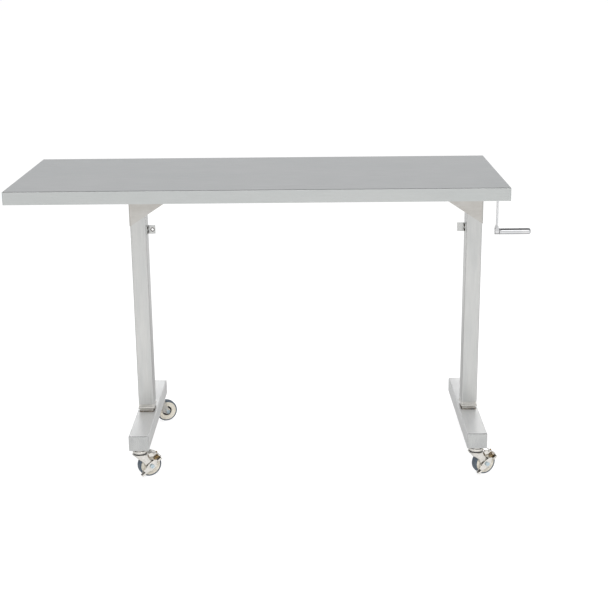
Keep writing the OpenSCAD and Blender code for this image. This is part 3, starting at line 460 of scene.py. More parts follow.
def turned(rows: Array | list, centre: Array, axis: Array, start: Array, count: int = 64) -> Array:
    """Turns rows of (radius, height) round an axis: P = c + h axis + r (cos a u + sin a v).

    Args:
        rows: Radius and height of each row, one number or one for each point.
        centre: A point on the axis.
        axis: Direction of the axis.
        start: Direction u at right angles to it, and v = axis x u.
        count: Points round the axis.

    Returns:
        A grid with the turn in columns.
    """
    a = np.arange(count) / count * TURN
    spokes = np.cos(a)[:, None] * start + np.sin(a)[:, None] * np.cross(axis, start)
    radius, height = (np.stack([np.broadcast_to(row[k], count) for row in rows])[..., None] for k in (0, 1))
    return centre + height * axis + radius * spokes


def tube(path: Array, radius: float | Array, reference: Array, sides: int = 12,
         closed: bool = False) -> Array:
    """Makes a tube round a path: P = p + r (cos b n + sin b m), n = t x reference, m = t x n.

    Args:
        path: Points of the path, n by 3.
        radius: Radius of the tube, one or n.
        reference: A direction that the path never runs along, one or n by 3.
        sides: Points round the tube.
        closed: The path ends where it starts.

    Returns:
        A grid of points.
    """
    ahead = np.roll(path, -1, axis=0)
    behind = np.roll(path, 1, axis=0)
    if not closed:
        ahead[-1], behind[0] = path[-1], path[0]
    tangent = ahead - behind
    tangent = tangent / np.linalg.norm(tangent, axis=1, keepdims=True)
    normal = np.cross(tangent, reference)
    normal = normal / np.linalg.norm(normal, axis=1, keepdims=True)
    other = np.cross(tangent, normal)
    ring = circle(1.0, sides)
    radius = np.broadcast_to(np.asarray(radius, float), len(path))[:, None, None]
    return path[:, None] + radius * (ring[None, :, :1] * normal[:, None] + ring[None, :, 1:] * other[:, None])


def hexagon(flats: float, count: int) -> Array:
    """Gives a hexagon's radii round the turn: r = f / 2 / cos(((a + 30) mod 60) - 30), in degrees."""
    angle = np.arange(count) / count * TURN
    return flats / 2 / np.cos((angle + math.pi / 6) % (math.pi / 3) - math.pi / 6)


def hexagon_head(flats: float, height: float, centre: Array, axis: Array, start: Array,
                 bore: float = 0.0) -> Array:
    """Makes a hexagon head or nut with its corners cut back by a cone of 30 degrees.

    With R the hexagon's radius and c = 0.95 f / 2, its upper edge is at h - (R - c) tan 30.

    Args:
        flats: Size across the flats.
        height: Height along the axis.
        centre: Middle of its foot.
        axis: Direction out from the foot.
        start: Direction at right angles to the axis.
        bore: Radius of a shallow dish in the top, none if 0.

    Returns:
        A grid of rings from the foot to the top.
    """
    count = 72
    outer = hexagon(flats, count)
    face = 0.95 * flats / 2
    drop = np.maximum(outer - face, 0) * math.tan(math.pi / 6)
    rows = [(face, 0.0), (outer, drop), (outer, height - drop), (face, height)]
    if bore:
        rows += [(bore, height), (0.8 * bore, height - 0.8)]
    return turned(rows, centre, axis, start, count)


def thread(radius: float, length: float, pitch: float) -> Array:
    """Gives a screw's end: ridges with r - 0.3 p |2 frac(h / p) - 1|, then a bevel.

    Args:
        radius: Outer radius of the thread.
        length: Length of the end.
        pitch: Distance between two ridges.

    Returns:
        Radius and height of each row.
    """
    h = np.linspace(0, length - pitch, max(int((length - pitch) / pitch), 1) * 6 + 1)
    r = radius - 0.3 * pitch * np.abs(2 * ((h / pitch) % 1) - 1)
    return np.concatenate([np.stack([r, h], axis=1), [[radius - 0.8 * pitch, length], [0.02, length]]])


@dataclass(frozen=True)
class Place:
    """A local frame in millimetres: an origin and three unit directions."""

    origin: Array = field(default_factory=lambda: np.zeros(3))
    x: Array = field(default_factory=lambda: X_AXIS)
    y: Array = field(default_factory=lambda: Y_AXIS)
    z: Array = field(default_factory=lambda: Z_AXIS)

    def world(self, points: Array) -> Array:
        """Turns local millimetres to world metres: (o + px x + py y + pz z) / 1000."""
        spread = points[..., :1] * self.x + points[..., 1:2] * self.y + points[..., 2:] * self.z
        return (self.origin + spread) * MM


def enter(name: str, data: bpy.types.ID) -> Object:
    """Puts an object into the scene.

    Args:
        name: Its name.
        data: Its mesh, light or camera.

    Returns:
        The object.
    """
    made = bpy.data.objects.new(name, data)
    bpy.context.scene.collection.objects.link(made)
    return made


def shade(data: bpy.types.Mesh, sharp: float) -> None:
    """Shades a mesh smooth, but for edges steeper than this many degrees."""
    data.shade_smooth()
    data.set_sharp_from_angle(angle=math.radians(sharp))


class Skin:
    """Collects grids of points and makes one piece of them."""

    def __init__(self, name: str, place: Place | None = None) -> None:
        """Starts an empty piece.

        Args:
            name: The piece's name.
            place: The frame that its points are given in.
        """
        self.name = name
        self.place = place or Place()
        self.points: list[Array] = []
        self.faces: list[tuple[int, ...]] = []
        self.count = 0

    def add(self, grid: Array, wrap_rows: bool = False, wrap_columns: bool = True,
            caps: bool = True) -> Skin:
        """Adds a grid as quads (i, j), (i, j+1), (i+1, j+1), (i+1, j), and closes its end rings.

        Args:
            grid: Points, rows by columns by 3.
            wrap_rows: The last row joins the first.
            wrap_columns: The last column joins the first.
            caps: The first and last row are closed by a fan from their middle.

        Returns:
            The piece itself.
        """
        rows, columns = grid.shape[:2]
        i, j = np.meshgrid(np.arange(rows if wrap_rows else rows - 1),
                           np.arange(columns if wrap_columns else columns - 1), indexing="ij")
        next_i, next_j = (i + 1) % rows, (j + 1) % columns
        quads = np.stack([i * columns + j, i * columns + next_j, next_i * columns + next_j,
                          next_i * columns + j], axis=-1).reshape(-1, 4) + self.count
        self.faces += list(map(tuple, quads.tolist()))
        flat = grid.reshape(-1, 3)
        self.points.append(flat)
        first = self.count
        self.count += len(flat)
        if caps and wrap_columns and not wrap_rows:
            ring = np.arange(columns)
            for row in (0, rows - 1):
                self.points.append(grid[row].mean(axis=0, keepdims=True))
                start = first + row * columns
                fan = np.stack([start + ring, start + (ring + 1) % columns,
                                np.full(columns, self.count)], axis=1)
                self.faces += list(map(tuple, fan.tolist()))
                self.count += 1
        return self

    def mesh(self, sharp: float = 32.0) -> Object:
        """Makes the object, merges doubles and points all faces outwards.

        Args:
            sharp: Edges steeper than this many degrees stay sharp.

        Returns:
            The new object.
        """
        data = bpy.data.meshes.new(self.name)
        data.from_pydata(self.place.world(np.concatenate(self.points)), [], self.faces)
        work = bmesh.new()
        work.from_mesh(data)
        bmesh.ops.remove_doubles(work, verts=work.verts, dist=2e-6)
        bmesh.ops.recalc_face_normals(work, faces=work.faces)
        work.to_mesh(data)
        work.free()
        shade(data, sharp)
        return enter(self.name, data)


def read(items: bpy.types.bpy_prop_collection, key: str, width: int = 1, kind: type = np.float32) -> Array:
    """Reads one property of all items.

    Args:
        items: The vertices, faces or corners of a mesh.
        key: The property's name.
        width: Numbers in it.
        kind: Their type.

    Returns:
        One number for each item, or a row of them.
    """
    values = np.zeros(len(items) * width, kind)
    items.foreach_get(key, values)
    return values.reshape(-1, width) if width > 1 else values


def lay_grain(piece: Object, along: Array, folded: Array) -> None:
    """Lays the grain map on a piece: u = p . g and v = p . (n x g), in metres.

    Args:
        piece: The object.
        along: Direction g of the grain.
        folded: The grain's direction on faces that look along it.
    """
    data = piece.data
    sizes = read(data.polygons, "loop_total", kind=np.int32)
    normals = np.repeat(read(data.polygons, "normal", 3), sizes, axis=0)
    points = read(data.vertices, "co", 3)[read(data.loops, "vertex_index", kind=np.int32)]
    facing = np.abs(normals @ along) > 0.75
    grain = np.where(facing[:, None], folded, along)
    across = np.cross(normals, grain)
    grid = np.stack([(points * grain).sum(axis=1), (points * across).sum(axis=1)], axis=1)
    layer = data.uv_layers.new(name="grain")
    layer.data.foreach_set("uv", grid.astype(np.float32).ravel())


def modify(piece: Object, name: str, kind: str, **fields: object) -> Object:
    """Adds a modifier with its settings, and gives the object back.

    Args:
        piece: The object.
        name: The modifier's name.
        kind: The modifier's type.
        **fields: Attributes of the modifier.

    Returns:
        The object.
    """
    step = piece.modifiers.new(name, kind)
    for key, value in fields.items():
        setattr(step, key, value)
    return piece


def bevel(piece: Object, width: float, segments: int = 3, angle: float = 35.0) -> Object:
    """Rounds a piece's sharp edges, and keeps its flat faces flat to the eye.

    Args:
        piece: The object.
        width: Width of the rounding in millimetres.
        segments: Strips across the rounding.
        angle: Edges flatter than this many degrees are left.

    Returns:
        The object.
    """
    modify(piece, "rounded_edges", "BEVEL", width=width * MM, segments=segments, limit_method="ANGLE",
           angle_limit=math.radians(angle))
    return keep_flat(piece)


def keep_flat(piece: Object) -> Object:
    """Lets large faces rule the shading, so that a flat face beside a bend stays flat to the eye."""
    return modify(piece, "flat_faces", "WEIGHTED_NORMAL", keep_sharp=True)


def point_out(piece: Object, centre: Array) -> Object:
    """Turns an open sheet's faces away from a point, where the sum of area n . (p - c) is negative.

    Args:
        piece: The object.
        centre: A point behind the sheet, in metres.

    Returns:
        The object.
    """
    faces = piece.data.polygons
    away = (read(faces, "normal", 3) * (read(faces, "center", 3) - centre)).sum(axis=1)
    if (read(faces, "area") * away).sum() < 0:
        piece.data.flip_normals()
    return piece


def thicken(piece: Object, wall: float, even: bool = True, offset: float = -1.0) -> Object:
    """Gives an open sheet its wall.

    Args:
        piece: The object.
        wall: Its wall in millimetres.
        even: The wall keeps its width round corners, which makes spikes on steep ones.
        offset: -1 for a wall inwards from the sheet, 0 for one to both sides of it.

    Returns:
        The object.
    """
    return modify(piece, "wall", "SOLIDIFY", thickness=wall * MM, offset=offset, use_even_offset=even)


def freeze(piece: Object) -> Object:
    """Applies a piece's modifiers to its mesh.

    Args:
        piece: The object.

    Returns:
        The object.
    """
    bpy.context.view_layer.update()
    graph = bpy.context.evaluated_depsgraph_get()
    data = bpy.data.meshes.new_from_object(piece.evaluated_get(graph))
    piece.modifiers.clear()
    piece.data = data
    return piece


def cut(piece: Object, cutter: Object, sharp: float = 32.0) -> Object:
    """Cuts one solid out of another for good and removes the cutter.

    Args:
        piece: The object that is cut.
        cutter: The object that cuts it.
        sharp: Edges steeper than this many degrees stay sharp.

    Returns:
        The cut object.
    """
    freeze(modify(piece, "cut", "BOOLEAN", operation="DIFFERENCE", solver="MANIFOLD", object=cutter))
    bpy.data.objects.remove(cutter)
    shade(piece.data, sharp)
    return piece


def dress(piece: Object, finish: Finish, nodes: tuple[str, ...] = (), body: str = "") -> Object:
    """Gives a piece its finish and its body.

    Args:
        piece: The object.
        finish: Its finish.
        nodes: CAD nodes that it stands for, if any.
        body: Body that it rides on, else the first node's.

    Returns:
        The object.
    """
    piece.data.materials.clear()
    piece.data.materials.append(finish.material())
    if nodes:
        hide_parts(*nodes)
    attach(piece, body or frame["nodes"][nodes[0]]["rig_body"])
    LOG.info("%s: %s, %d faces", piece.name, finish.name, len(piece.data.polygons))
    return piece


def finish_node(node: str, finish: Finish) -> None:
    """Gives a CAD node that stays its finish.

    Args:
        node: The CAD node.
        finish: Its finish.
    """
    piece = frame["nodes"][node]
    piece.data.materials.clear()
    piece.data.materials.append(finish.material())
    LOG.info("%s: %s, kept", node, finish.name)


def dressed_copy(node: str, finish: Finish, width: float, along: Array = X_AXIS,
                 folded: Array = Z_AXIS, sharp: float = 30.0) -> Object:
    """Stands a merged copy of a CAD node in its place, with rounded edges and a grain map.

    Args:
        node: The CAD node.
        finish: Its finish.
        width: Rounding of its edges in millimetres, none if 0.
        along: Direction of the grain.
        folded: The grain's direction on faces that look along it.
        sharp: Edges steeper than this many degrees are edges, not curves.

    Returns:
        The copy.
    """
    data = frame["nodes"][node].data.copy()
    data.name = f"{node}_surface"
    work = bmesh.new()
    work.from_mesh(data)
    bmesh.ops.remove_doubles(work, verts=work.verts, dist=1e-6)
    bmesh.ops.dissolve_limit(work, angle_limit=math.radians(0.5), verts=work.verts, edges=work.edges)
    work.to_mesh(data)
    work.free()
    shade(data, sharp)
    piece = enter(f"{node}_surface", data)
    lay_grain(piece, along, folded)
    if width:
        bevel(piece, width)
    else:
        keep_flat(piece)
    return dress(piece, finish, (node,))


def box_mm(node: str) -> tuple[Array, Array]:
    """Gives a CAD node's lowest and highest corner in millimetres."""
    low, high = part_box(node)
    return np.array(low) / MM, np.array(high) / MM


def middle_mm(node: str) -> Array:
    """Gives the middle of a CAD node's box in millimetres."""
    low, high = box_mm(node)
    return (low + high) / 2


# Sub-assemblies


@dataclass
class WorkSurface:
    """The folded sheet that forms the top and its apron."""

    def build(self) -> None:
        """Dresses the sheet: the grain runs along the top and down the end aprons."""
        dressed_copy("table_top", SHEET, width=0.0, sharp=40.0)


@dataclass
class UnderFrame:
    """Channels, mount plates, bolts and the shaft's hanger under the top.

    Attributes:
        bolt: Diameter of the bolts.
        stack: Thickness that a plate bolt holds.
        channel_y: Distance of the channels from the middle.
        near: Place of the outer plate bolts from a column's axis.
        far: Place of the inner plate bolts from a column's axis.
        ear: Thickness of the pump's ears.
        ear_end: Distance of their bolts from the pump's ends.
        pitch: Pitch of the threads.
    """

    bolt: float = 8.0
    stack: float = 6.6
    channel_y: float = 130.0
    near: float = -36.0
    far: float = 156.0
    ear: float = 5.0
    ear_end: float = 9.0
    pitch: float = 1.25

    def bolt_places(self) -> list[tuple[float, float, float, float]]:
        """Lists the bolts: four through each mount plate and one through each ear of the pump.

        Returns:
            For each bolt x, y and z of its seat, and the thickness it holds.
        """
        plate_low = box_mm("left_mount_plate")[0][2]
        places = []
        for node, way in (("left_outer_column", 1), ("right_outer_column", -1)):
            middle = middle_mm(node)[0]
            places += [(middle + way * x, y, plate_low, self.stack) for x in (self.near, self.far)
                       for y in (-self.channel_y, self.channel_y)]
        low, high = box_mm("pump_housing")
        places += [(x, middle_mm("crank_shaft")[1], plate_low - self.ear, 2 * self.ear)
                   for x in (low[0] + self.ear_end, high[0] - self.ear_end)]
        return places

    def build(self) -> None:
        """Dresses channels and plates, and makes chamfered bolts and nuts."""
        for node in ("front_channel", "rear_channel"):
            dressed_copy(node, PLATE, 0.4)
        for node in ("left_mount_plate", "right_mount_plate", "shaft_hanger"):
            dressed_copy(node, PLATE, 0.6)
        bolts = Skin("mount_bolts_detail")
        flats = 1.6 * self.bolt
        radius = self.bolt / 2
        for x, y, z, stack in self.bolt_places():
            seat = np.array([x, y, z])
            bolts.add(hexagon_head(flats, 0.65 * self.bolt, seat, -Z_AXIS, X_AXIS, 3.0))
            top = seat + stack * Z_AXIS
            bolts.add(hexagon_head(flats, 0.8 * self.bolt, top, Z_AXIS, X_AXIS))
            bolts.add(turned(thread(radius, self.bolt, self.pitch), top, Z_AXIS, X_AXIS, 24))
            bolts.add(turned([[radius, 0], [radius, stack]], seat, Z_AXIS, X_AXIS, 24))
        dress(bolts.mesh(), ZINC, ("mount_bolts",))


@dataclass
class Column:
    """One telescopic column with its gusset, bracket, collar and what works inside it.

    Attributes:
        side: "left" or "right".
        bead: Radius of the weld bead at the foot.
        ripple: Distance between the ripples of the bead.
        gap: Distance of the bead's middle from the inner tube.
        rise: Height of the bead's middle over the tube's end.
        corner: Size of the bead's corners.
    """

    side: str
    bead: float = 2.4
    ripple: float = 2.6
    gap: float = 0.3
    rise: float = 0.8
    corner: float = 4.0

    def weld_bead(self) -> None:
        """Makes the bead round the inner tube: its radius is b + 0.15 b sin(2 pi s / ripple)."""
        low, high = box_mm(f"{self.side}_inner_column")
        width, depth = (high - low)[:2] + 2 * self.gap
        outline = box_outline(width, depth, self.corner, 12)
        fine = np.concatenate([outline, outline[:1]])
        length = np.concatenate([[0], np.cumsum(np.linalg.norm(np.diff(fine, axis=0), axis=1))])
        s = np.linspace(0, length[-1], 700, endpoint=False)
        path = np.stack([np.interp(s, length, fine[:, 0]), np.interp(s, length, fine[:, 1]),
                         np.full_like(s, low[2] + self.rise)], axis=1)
        path[:, :2] += (low[:2] + high[:2]) / 2
        radius = self.bead * (1 + 0.15 * np.sin(TURN * s / self.ripple))
        bead = Skin(f"{self.side}_column_weld")
        bead.add(tube(path, radius, Z_AXIS, closed=True), wrap_rows=True)
        dress(bead.mesh(60), WELD, body=f"{self.side}_base")

    def build(self) -> None:
        """Dresses the tubes, the gusset, the bracket, the collar and the parts inside."""
        side = self.side
        for node, finish, width, along, folded in (
                ("outer_column", TUBE, 0.4, Z_AXIS, X_AXIS), ("inner_column", DRAWN, 0.3, Z_AXIS, X_AXIS),
                ("collar", BUFFED, 0.3, X_AXIS, Y_AXIS), ("gusset", GUSSET, 0.5, X_AXIS, Z_AXIS),
                ("bracket", TUBE, 0.6, Z_AXIS, X_AXIS)):
            dressed_copy(f"{side}_{node}", finish, width, along, folded)
        for node, finish in (("glide", WHITE_NYLON), ("cylinder", ENAMEL), ("piston_rod", CHROME)):
            finish_node(f"{side}_{node}", finish)
        self.weld_bead()


@dataclass
class BracketScrews:
    """The four screws that hold the brackets to the columns, and the bush in the left bracket's hole.

    Attributes:
        head: Radius of a head.
        height: Height of a head.
        socket: Size of its hexagon socket across the flats.
        depth: Depth of the socket.
        wall: Wall of a bracket.
        edge: Distance of the screws from the bracket's front edge.
        apart: Half the distance between two screws.
        hole_x: Distance of the hole from the column.
    """

    head: float = 4.5
    height: float = 2.5
    socket: float = 3.0
    depth: float = 1.6
    wall: float = 3.0
    edge: float = 10.0
    apart: float = 7.5
    hole_x: float = 18.0

    def build(self) -> None:
        """Makes domed heads with their shanks, then the bush."""
        screws = Skin("bracket_screws_detail")
        inside = hexagon(self.socket, 36)
        rows = [(self.head, 0.0), (self.head, 0.35 * self.height), (0.86 * self.head, 0.8 * self.height),
                (0.62 * self.head, self.height), (inside, self.height), (inside, self.height - self.depth)]
        for side, way, edge in (("left", 1, 1), ("right", -1, 0)):
            low, high = box_mm(f"{side}_bracket")
            face = box_mm(f"{side}_outer_column")[edge][0] + way * self.wall
            for z in (-self.apart, self.apart):
                centre = np.array([face, low[1] + self.edge, (low[2] + high[2]) / 2 + z])
                screws.add(turned(rows, centre, way * X_AXIS, Y_AXIS, 36))
                screws.add(turned([[2.5, -5], [2.5, 0]], centre, way * X_AXIS, Y_AXIS, 24))
        dress(screws.mesh(), DARK_STEEL, ("bracket_screws",))
        low, high = box_mm("left_bracket")
        eye = np.array([low[0] + self.hole_x, high[1] - self.wall, (low[2] + high[2]) / 2])
        ring = soften([[4.2, -3.2], [4.2, 1.1], [6.2, 1.1], [6.8, 0.0], [4.95, 0.0], [4.95, -3.2]], 0.3, 3,
                      closed=True)
        bush = Skin("left_bracket_bush").add(turned(ring, eye, -Y_AXIS, X_AXIS, 48), wrap_rows=True)
        body = frame["nodes"]["left_bracket"]["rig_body"]
        dress(bush.mesh(), DARK_STEEL, body=body)


@dataclass
class Foot:
    """One foot: its tube and the plates welded into its ends.

    Attributes:
        side: "left" or "right".
        plate: Thickness of an end plate.
        corner: Size of its corners.
        groove: Depth of the groove between tube and plate.
        edge: Rounding of the plate's edge.
        rim: Width of its sloped rim, seen from its front.
        rim_t: Height of that slope.
    """

    side: str
    plate: float = 2.5
    corner: float = 4.0
    groove: float = 0.7
    edge: float = 1.7
    rim: float = 4.8
    rim_t: float = 0.7

    def end_plates(self) -> None:
        """Makes the end plates: rows run out of the groove, round the edge and up the sloped rim.

        Round the edge, inset = e (1 - cos t) and height = plate - rim_t - e (1 - sin t).
        """
        low, high = box_mm(f"{self.side}_foot_caps")
        width, length, height = high - low
        middle = (low + high) / 2
        t = np.radians(np.linspace(0, 72, 6))
        rise = self.plate - self.rim_t
        rows = [(self.groove, 0.0), (0.4 * self.groove, 0.5 * (rise - self.edge))]
        rows += [(self.edge * (1 - math.cos(a)), rise - self.edge * (1 - math.sin(a))) for a in t]
        rows += [(self.rim, self.plate), (self.rim + 1.0, self.plate)]
        plates = Skin(f"{self.side}_end_plates")
        for way in (-1, 1):
            joint = middle + way * (length / 2 - self.plate) * Y_AXIS
            plates.add(np.concatenate([
                carry(box_outline(width - 2 * inset, height - 2 * inset, self.corner, 8),
                      joint + way * out * Y_AXIS, X_AXIS, Z_AXIS) for inset, out in rows]))
        made = keep_flat(plates.mesh(40))
        lay_grain(made, Z_AXIS, X_AXIS)
        dress(made, END_PLATE, (f"{self.side}_foot_caps",))

    def build(self) -> None:
        """Dresses the tube and makes its end plates."""
        dressed_copy(f"{self.side}_foot", FOOT, 0.5, Y_AXIS, Z_AXIS)
        self.end_plates()


@dataclass
class Caster:
    """One swivel caster, in its own frame.

    Attributes:
        name: End and side, such as "front_left".
        braked: It has a lever, a hood and a shoe.
        trail: Distance of the axle from the swivel axis.
        axle_z: Height of the axle.
        crown: Radius of the fork's crown.
        crown_z: Height of the crown's top.
        leg_y: Half the width over the legs.
        leg_front: Leading edge of the legs.
        leg_back: Trailing edge of the legs.
        seat_y: Half the width over the seats of the axle bolt.
        wall: Wall of the fork.
        edge: Rounding of the crown's edge.
        end_r: Radius of the legs' ends round the axle.
        front_z: Height of the fork's lower edge between the legs, in front of the axle.
        rear_z: The same behind the axle.
        blunt: Rounding of the pressed parts' cut edges.
        hood_t: Wall of the hood.
        lever_t: Thickness of the lever's plate.
        lever_tilt: Angle of the lever to the level.
        pedal_w: Length of a pedal along the axle.
        ribs: Number of ribs on a pedal.
        rib_pitch: Distance between two ribs.
        spring_tilt: Angle of the brake spring to the level.
        tyre_w: Width of the tyre.
    """

    name: str
    braked: bool
    trail: float = 30.0
    axle_z: float = 38.0
    crown: float = 26.0
    crown_z: float = 83.0
    leg_y: float = 17.0
    leg_front: float = 12.0
    leg_back: float = 39.0
    seat_y: float = 19.8
    wall: float = 2.5
    edge: float = 3.0
    end_r: float = 9.0
    front_z: float = 57.5
    rear_z: float = 78.5
    blunt: float = 0.35
    hood_t: float = 2.2
    lever_t: float = 2.0
    lever_tilt: float = 33.0
    pedal_w: float = 10.5
    ribs: int = 6
    rib_pitch: float = 2.5
    spring_tilt: float = 32.0
    tyre_w: float = 25.0

    def __post_init__(self) -> None:
        """Takes the caster's frame from its swivel and roll joints."""
        swivel = np.array(JOINTS[f"{self.name}_swivel"]["pos_m"]) / MM
        axis = np.array(JOINTS[f"{self.name}_roll"]["axis"], float)
        along = np.cross(axis, Z_AXIS)
        self.place = Place(np.array([swivel[0], swivel[1], 0.0]), along, axis, Z_AXIS)
        self.side = self.name.split("_")[1]
        self.axle = np.array([self.trail, 0.0, self.axle_z])

    def skin(self, part: str) -> Skin:
        """Starts a piece of this caster."""
        return Skin(f"{self.name}_{part}", self.place)

    def trim(self, piece: Object, finish: Finish, body: str = "caster") -> None:
        """Dresses a small piece that stands for no CAD node."""
        dress(piece, finish, body=f"{self.name}_{body}")

    def round_axle(self, profile: Array, count: int = 96) -> Array:
        """Turns a profile of (radius, place along the axle) round the axle."""
        return turned(profile, self.axle, Y_AXIS, X_AXIS, count)

    def round_swivel(self, profile: Array, count: int = 72) -> Array:
        """Turns a profile of (radius, height) round the swivel axis."""
        return turned(profile, np.zeros(3), Z_AXIS, X_AXIS, count)

    def section(self, u: Array, z: Array) -> Array:
        """Gives the fork's outline at a height, a blend of the round crown and the legs' box.

        With k = clip((80 - z) / 42, 0, 1) ** 0.9, P = (1 - k) R (cos u, sin u) + k L(u), and L is
        the box on m + s (cos u, sin u) / (|cos u|^8 + |sin u|^8)^(1/8), s half the box's sides.

        Args:
            u: Angle of each point.
            z: Height of each point.

        Returns:
            The points, with a last axis of 3.
        """
        c, s = np.cos(u), np.sin(u)
        square = (np.abs(c) ** 8 + np.abs(s) ** 8) ** -0.125
        middle = (self.leg_front + self.leg_back) / 2
        half = (self.leg_back - self.leg_front) / 2
        top = self.crown_z - self.edge
        k = np.clip((top - z) / (top - self.axle_z), 0, 1) ** 0.9
        x = (1 - k) * self.crown * c + k * (middle + half * square * c)
        y = (1 - k) * self.crown * s + k * self.leg_y * square * s
        return np.stack([x, y, z * np.ones_like(x)], axis=-1)

    def lower_edge(self, u: Array) -> Array:
        """Gives the fork's lower edge: round the axle on the legs, above the wheel between them.

        Round the axle it is at z = axle_z - sqrt(end_r^2 - (x - trail)^2).

        Args:
            u: Angle of each point.

        Returns:
            Height of each point.
        """
        low = self.section(u, np.full_like(u, self.axle_z))
        x, y = low[:, 0], np.abs(low[:, 1])
        under_axle = self.axle_z - np.sqrt(np.maximum(self.end_r**2 - (x - self.trail) ** 2, 0))
        under_toe = np.interp(x, [12, 13, 16, 27], [self.axle_z, 35.4, 34, 29.4])
        leg = np.where(x < self.trail - self.end_r / 3, under_toe, under_axle)
        between = np.where(x < self.trail - 5, self.front_z, self.rear_z)
        return np.where(y > self.leg_y - 1.2 * self.wall, leg, between)

    def fork_shell(self) -> Object:
        """Makes the pressed shell: rows run out on the crown, round its edge and down to the lower edge.

        A slot is cut through both legs in front of the axle.

        Returns:
            The shell with its wall.
        """
        count = 240
        u = np.arange(count) / count * TURN
        low = self.lower_edge(u)
        crown, edge, shoulder = self.crown_z, self.edge, self.crown_z - self.edge
        rows = [(r, crown) for r in (6.0, 14.0, 22.0)]
        rows += [(self.crown - edge + edge * math.sin(a), shoulder + edge * math.cos(a))
                 for a in np.linspace(0.2, 1.5, 6)]
        v = np.linspace(0.0, 1.0, 44)[1:, None]
        z = shoulder - v * (shoulder - low[None])
        sides = self.section(np.broadcast_to(u, z.shape), z)
        grid = np.concatenate([self.round_swivel(rows, count), sides])
        inside = self.place.world(np.array([20.0, 0.0, 60.0]))
        shell = point_out(self.skin("fork_shell").add(grid, caps=False).mesh(40), inside)
        made = freeze(thicken(shell, self.wall, even=False))
        slot = soften(rectangle(self.trail - 7.5, self.trail + 0.5, 60.5, 69.0), 1.2, 4, closed=True)
        path = np.array([[0, -40.0, 0], [0, 40.0, 0]])
        cutter = Skin("leg_slot", self.place).add(carry(slot, path, X_AXIS, Z_AXIS)).mesh()
        return cut(made, cutter, 40)

    def fork(self) -> None:
        """Makes the fork: shell, cup of the ball race, seats round the axle, black seal rings that also paint
        the shade in the swivel's gaps, and maybe the hood.
        """
        shell = self.fork_shell()
        cup = soften([[5.5, 88.0], [23.6, 88.0], [24.0, 86.4], [21.0, 86.2], [21.0, 82.8], [5.5, 82.8]],
                     0.5, 4, closed=True)
        parts = self.skin("fork_parts").add(self.round_swivel(cup), wrap_rows=True)
        for way in (-1, 1):
            seat = soften([[8.2, way * 16.2], [8.2, way * (self.seat_y - 0.6)],
                           [7.6, way * self.seat_y], [4.1, way * self.seat_y]], 0.4, 4)
            parts.add(self.round_axle(seat, 64), caps=False)
        self.trim(parts.mesh(40), NICKEL)
        dress(bevel(shell, self.blunt, 2, 50), NICKEL, (f"{self.name}_fork",))
        # Black rings in the race's groove and under the cup's lip: seals, and painted shade of these gaps.
        seal = self.skin("seal_rings_gap_shade")
        for inner, outer, low, high in ((18.0, 20.2, 94.3, 95.9), (20.0, 22.6, 83.1, 86.3)):
            seal.add(self.round_swivel(rectangle(inner, outer, low, high)), wrap_rows=True)
        self.trim(seal.mesh(), BLACK_NYLON)
        if self.braked:
            self.hood()

    def arc(self, start: float, end: float, count: int) -> tuple[Array, Array]:
        """Gives the axle's middle and directions out from it, between two angles above the level."""
        outward = np.stack([tilted(angle)[0] for angle in np.linspace(start, end, count)])
        return np.repeat(self.axle[None], count, axis=0), outward

    def hood(self) -> None:
        """Makes the hood over the wheel: a softened U of (place along the axle, radius) on an arc."""
        y = self.leg_y
        section = soften([[-y, 30.5], [-y, 44.5], [y, 44.5], [y, 30.5]], 3.0, 6)
        centre, outward = self.arc(33.5, 104, 44)
        grid = carry(section, centre, Y_AXIS, outward)
        hood = self.skin("hood").add(grid, wrap_columns=False, caps=False).mesh(50)
        freeze(thicken(point_out(hood, self.place.world(self.axle)), self.hood_t))
        window = soften([[-25.0, 33.5], [-25.0, 41.0], [25.0, 41.0], [25.0, 33.5]], 0.5, 3, closed=True)
        centre, outward = self.arc(38.5, 57, 12)
        cut(hood, Skin("hood_window", self.place).add(carry(window, centre, Y_AXIS, outward)).mesh(), 50)
        self.trim(bevel(hood, self.blunt, 2, 50), NICKEL)
        pins = self.skin("hood_pins")
        head = soften([[2.9, 0.0], [2.9, 1.4], [2.1, 2.2], [0.05, 2.2]], 0.5, 4)
        for way in (-1, 1):
            seat = self.axle + 40.0 * tilted(76)[0] + way * (y + 0.3) * Y_AXIS
            pins.add(turned(head, seat, way * Y_AXIS, X_AXIS, 32))
        self.trim(pins.mesh(), NICKEL)

    def race(self) -> Array:
        """Gives the fixed race of the swivel bearing, with the head of the rivet below it."""
        outline = soften([[0.05, 98.0], [21.6, 98.0], [21.8, 96.0], [18.6, 95.6], [18.6, 94.6],
                          [22.6, 94.4], [23.6, 92.6], [23.6, 88.4], [5.0, 88.4], [5.0, 79.6], [8.4, 79.6],
                          [8.4, 78.4], [7.0, 77.8], [0.05, 77.8]], 0.5, 4)
        return self.round_swivel(outline)

    def axle_bolt(self) -> None:
        """Makes the axle bolt: shank, chamfered head with a washer face, nut and threaded end."""
        flats, head = 12.56, 5.4
        head_y = self.seat_y + (2.6 if self.braked else 0.3)
        nut_y = self.seat_y + 0.3
        bolt = self.skin("axle_bolt")
        bolt.add(hexagon_head(flats, head, self.axle - head_y * Y_AXIS, -Y_AXIS, X_AXIS, 3.6))
        bolt.add(hexagon_head(flats, head, self.axle + nut_y * Y_AXIS, Y_AXIS, X_AXIS))
        bolt.add(self.round_axle([[4.0, -head_y], [4.0, nut_y]], 40))
        end = self.axle + (nut_y + head) * Y_AXIS
        bolt.add(turned(thread(3.9, 1.5, 0.75), end, Y_AXIS, X_AXIS, 40))
        dress(bolt.mesh(), ZINC, (f"{self.name}_axle",))

